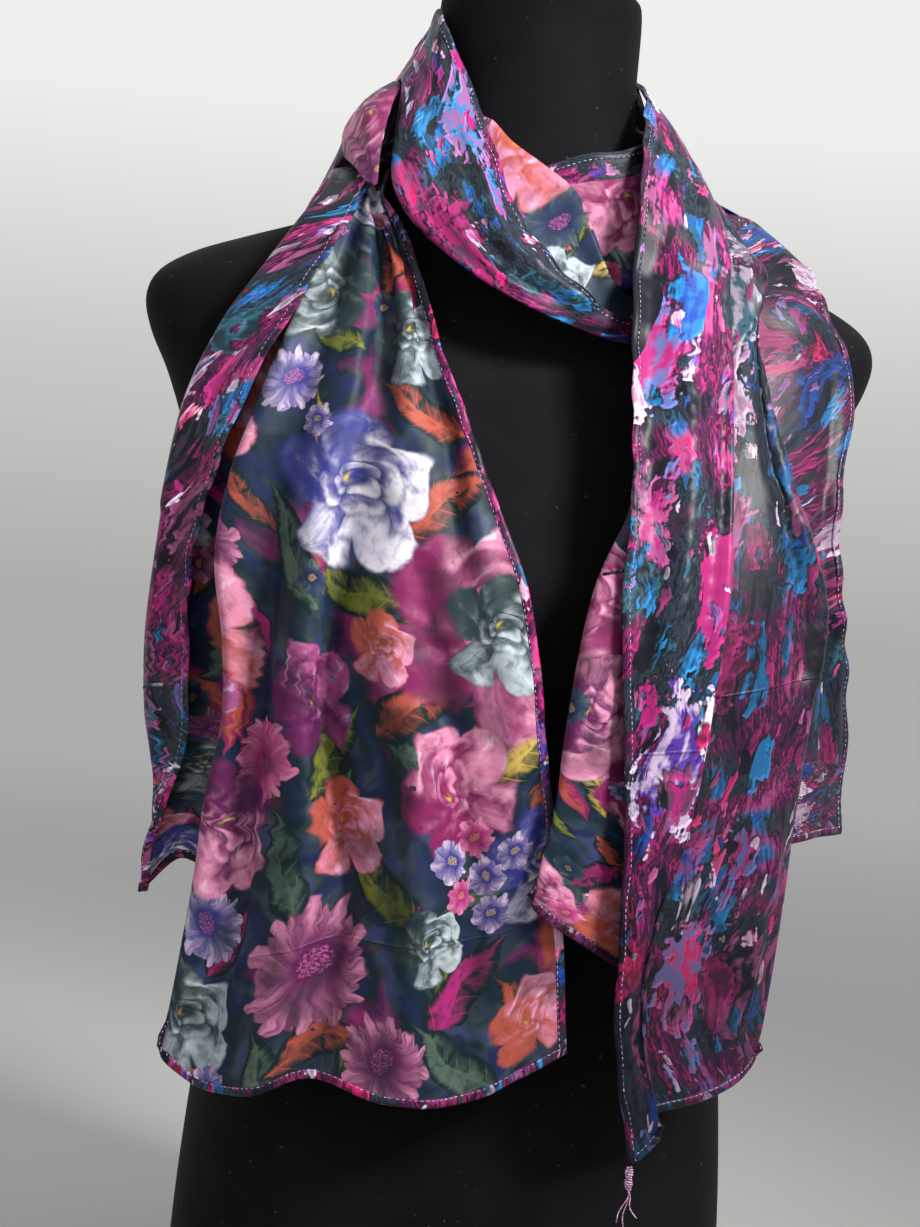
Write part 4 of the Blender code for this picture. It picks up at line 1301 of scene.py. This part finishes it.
def studio():
    """Soft lamps, an even sky and a pale floor with painted shade near the form."""
    for name, (place, target, width, height, watts, spread, colour) in LAMPS.items():
        light = bpy.data.lights.new(name, "AREA")
        light.shape, light.size, light.size_y = "RECTANGLE", width, height
        light.energy, light.spread, light.color = watts, math.radians(spread), colour
        lamp = place_object(name, light)
        lamp.location = place
        lamp.rotation_euler = (Vector(target) - Vector(place)).to_track_quat("-Z", "Y").to_euler()
    world = bpy.data.worlds.new("even sky")
    world.use_nodes = True
    background = world.node_tree.nodes["Background"]
    height = source(world.node_tree, "TexCoord", "Generated").parts()[2]
    feed(background.inputs["Color"], height.ramp(SKY))
    feed(background.inputs["Strength"], SKY_STRENGTH)
    bpy.context.scene.world = world
    floor = bpy.data.meshes.new("floor")
    floor.from_pydata([(x * FLOOR_REACH, y * FLOOR_REACH, 0)
                       for x, y in ((-1, -1), (1, -1), (1, 1), (-1, 1))], [], [(0, 1, 2, 3)])
    floor.materials.append(floor_with_painted_shade())
    place_object("floor", floor)


# ---- putting it together ----
# For each stretch: its drape, the finish of its front, the line and start of its flat places,
# its hemmed edges, what it rests on, its cut, its creases as (depth, width, route), its seams
# as routes, and the line up to which it lies the other way out. A route is a list of
# (line number, row number), a depth is millimetres out of the cloth's front.
STRETCHES = {
    "left_end": dict(
        drape=hung_drape(LEFT_END, LEFT_FLAP_SWELL), slot="floral_face", reference=8,
        start=(0.0, 0.0), hems=("left", "bottom", "right"), rests_on=["form_body"],
        flat_size=(0.40, 0.50), area=0.124,
        seams=[[(5, 215), (8, 228), (10, 236)], [(0, 350), (1, 343)]],
        creases=[
            (-9, 7, [(7.0, 440), (7.15, 360), (7.0, 250), (6.9, 160)]),
            (7, 7, [(6.4, 430), (6.5, 310), (6.2, 170)]),
            (-9, 7, [(8.2, 420), (8.5, 340), (8.9, 250), (8.8, 160)]),
            (7, 7, [(7.7, 400), (8.0, 290), (8.2, 165)]),
            (-6, 7, [(5.0, 450), (5.0, 340), (5.1, 230), (5.0, 160)]),
            (5, 7, [(9.5, 520), (9.4, 420), (9.5, 300), (9.5, 220)]),
            (-6, 5.5, [(8.9, 596), (8.9, 545), (9.1, 480), (9.0, 420)]),
            (4, 5, [(7.9, 600), (7.9, 550), (8.0, 490)]),
            (-4, 5, [(7.0, 602), (7.0, 560), (7.0, 505)]),
            (3, 5, [(6.0, 598), (6.2, 540), (6.3, 490)]),
            (-3, 5, [(5.2, 596), (5.2, 540), (5.2, 480)]),
            (3, 7, [(0.5, 560), (0.5, 470), (0.45, 390)]),
            (-3, 6, [(0.75, 520), (0.7, 440), (0.7, 330)]),
            (2.5, 7, [(0.4, 330), (0.5, 290), (0.6, 250)]),
        ]),
    "right_end": dict(
        drape=hung_drape(RIGHT_END, RIGHT_FLAP_SWELL), slot="stroke_face", reference=1,
        start=(0.05, 0.9), hems=("left", "bottom", "right"), rests_on=["form_body"],
        flat_size=(0.52, 0.50), area=0.195,
        seams=[[(0, 330), (1, 336)], [(2.5, 362), (4, 380)], [(10, 408), (11, 412)],
               [(6, 428), (7, 420)]],
        creases=[
            (6, 7, [(0.45, 580), (0.52, 460), (0.42, 340)]),
            (-6, 6, [(0.80, 580), (0.76, 450), (0.68, 330)]),
            (-4, 6, [(0.2, 600), (0.18, 500), (0.22, 380)]),
            (3, 7, [(0.6, 620), (0.62, 590), (0.6, 540)]),
            (-5, 8, [(0.75, 310), (0.6, 230), (0.5, 150)]),
            (4, 8, [(0.3, 320), (0.25, 240), (0.2, 160)]),
            (-6, 6, [(3.45, 570), (3.5, 470), (3.4, 370)]),
            (4.5, 6, [(3.75, 540), (3.7, 430), (3.65, 320)]),
            (-7, 9, [(3.0, 330), (2.95, 240), (2.8, 165)]),
            (6, 8, [(3.5, 320), (3.4, 250), (3.3, 180)]),
            (-4, 8, [(10.5, 560), (10.45, 450), (10.4, 330)]),
            (3, 7, [(10.78, 550), (10.75, 430), (10.7, 330)]),
            (-3, 7, [(6.6, 500), (6.5, 400), (6.5, 290)]),
            (3, 7, [(7.4, 480), (7.5, 380), (7.5, 290)]),
            (-4, 9, [(9.0, 540), (9.0, 430), (9.1, 310)]),
        ]),
    "throat_band": dict(
        drape=neck_drape(THROAT_BAND), slot="stroke_face", reference=2, start=(0.0, 0.62),
        hems=("left",), rests_on=["nape_inner_cloth"], flat_size=(0.154, 0.262), area=0.026,
        creases=[
            (-4, 5, [(1.5, 1.2), (1.6, 4.5), (1.5, 8)]),
            (3.5, 4, [(0.6, 2), (0.8, 5), (0.7, 8.3)]),
            (-3, 4, [(2.5, 2.5), (2.5, 5.5), (2.4, 8.5)]),
            (-3, 3.5, [(0.9, 3.5), (1.3, 5.5), (1.9, 8)]),
            (2, 4, [(5.5, 3.5), (5.4, 6), (5.5, 8.5)]),
        ]),
    "side_cap": dict(
        drape=neck_drape(SIDE_CAP), slot="floral_face", reference=2, start=(0.02, 0.60),
        hems=(), rests_on=["left_end_cloth"], flat_size=(0.061, 0.092), area=0.0036,
        creases=[
            (1.6, 3, [(1.5, 1), (1.6, 2.6), (1.6, 4.2)]),
            (-1.6, 3, [(2.4, 1), (2.4, 2.6), (2.3, 4.4)]),
            (1.2, 3, [(3.2, 1.2), (3.1, 2.8), (3.0, 4.2)]),
        ]),
    "nape_outer": dict(
        drape=neck_drape(NAPE_OUTER), slot="stroke_face", reference=2, start=(0.0, 1.3),
        hems=("left", "right"), rests_on=["form_body"], flat_size=(0.137, 0.35), area=0.0437,
        creases=[
            (-4, 8, [(1.45, 0.6), (1.6, 2), (1.5, 3.6), (1.5, 5.2)]),
            (3, 7, [(0.6, 1), (0.5, 2.6), (0.55, 4.6)]),
            (3, 8, [(2.55, 0.8), (2.4, 2.6), (2.5, 4.2), (2.5, 5.3)]),
            (-4, 8, [(3.4, 1.2), (3.5, 2.8), (3.35, 4.4)]),
        ]),
    "nape_inner": dict(
        drape=neck_drape(NAPE_INNER), slot="floral_face", reference=1, start=(0.0, 1.65),
        hems=("left",), rests_on=["form_body"], flat_size=(0.08, 0.39), area=0.0197,
        turned=0.9,
        creases=[
            (-2.2, 5, [(1.5, 0.4), (1.5, 1.4), (1.4, 2.4)]),
            (2, 5, [(2.4, 0.6), (2.3, 1.5), (2.5, 2.4)]),
        ]),
}


def main():
    """Make every piece, and the studio round them."""
    floral, strokes = floral_satin(), stroke_satin()
    stitching = thread("topstitch thread", LILAC, VIOLET)
    whipping = thread("whipping thread", LILAC, ORCHID)
    dress_form(stretch_cover())
    for name, plan in STRETCHES.items():
        drape = plan["drape"]
        for crease in plan["creases"]:
            drape.crease(*crease)
        drape.ruffle(plan["hems"])
        flat = drape.flat(plan["reference"], plan["start"])
        faces = (floral, strokes) if plan["slot"] == "floral_face" else (strokes, floral)
        cloth = cloth_shell(name + "_cloth", drape, flat, *faces, plan.get("turned", -1))
        map_motifs(cloth)
        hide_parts(name)
        trims = []
        if plan["hems"]:
            trims += hem_and_stitches(name, drape, flat, plan["hems"], strokes, stitching)
        if "seams" in plan:
            welts = Bundle()
            for route in plan["seams"]:
                seam_welt(welts, drape, flat, route)
            trims.append(welts.make(name + "_seams", faces[0]))
            map_motifs(trims[-1])
        if name == "right_end":
            trims.append(corner_whipping(drape, whipping))
    camera()
    studio()
    bpy.context.scene.view_settings.view_transform = "Standard"


main()
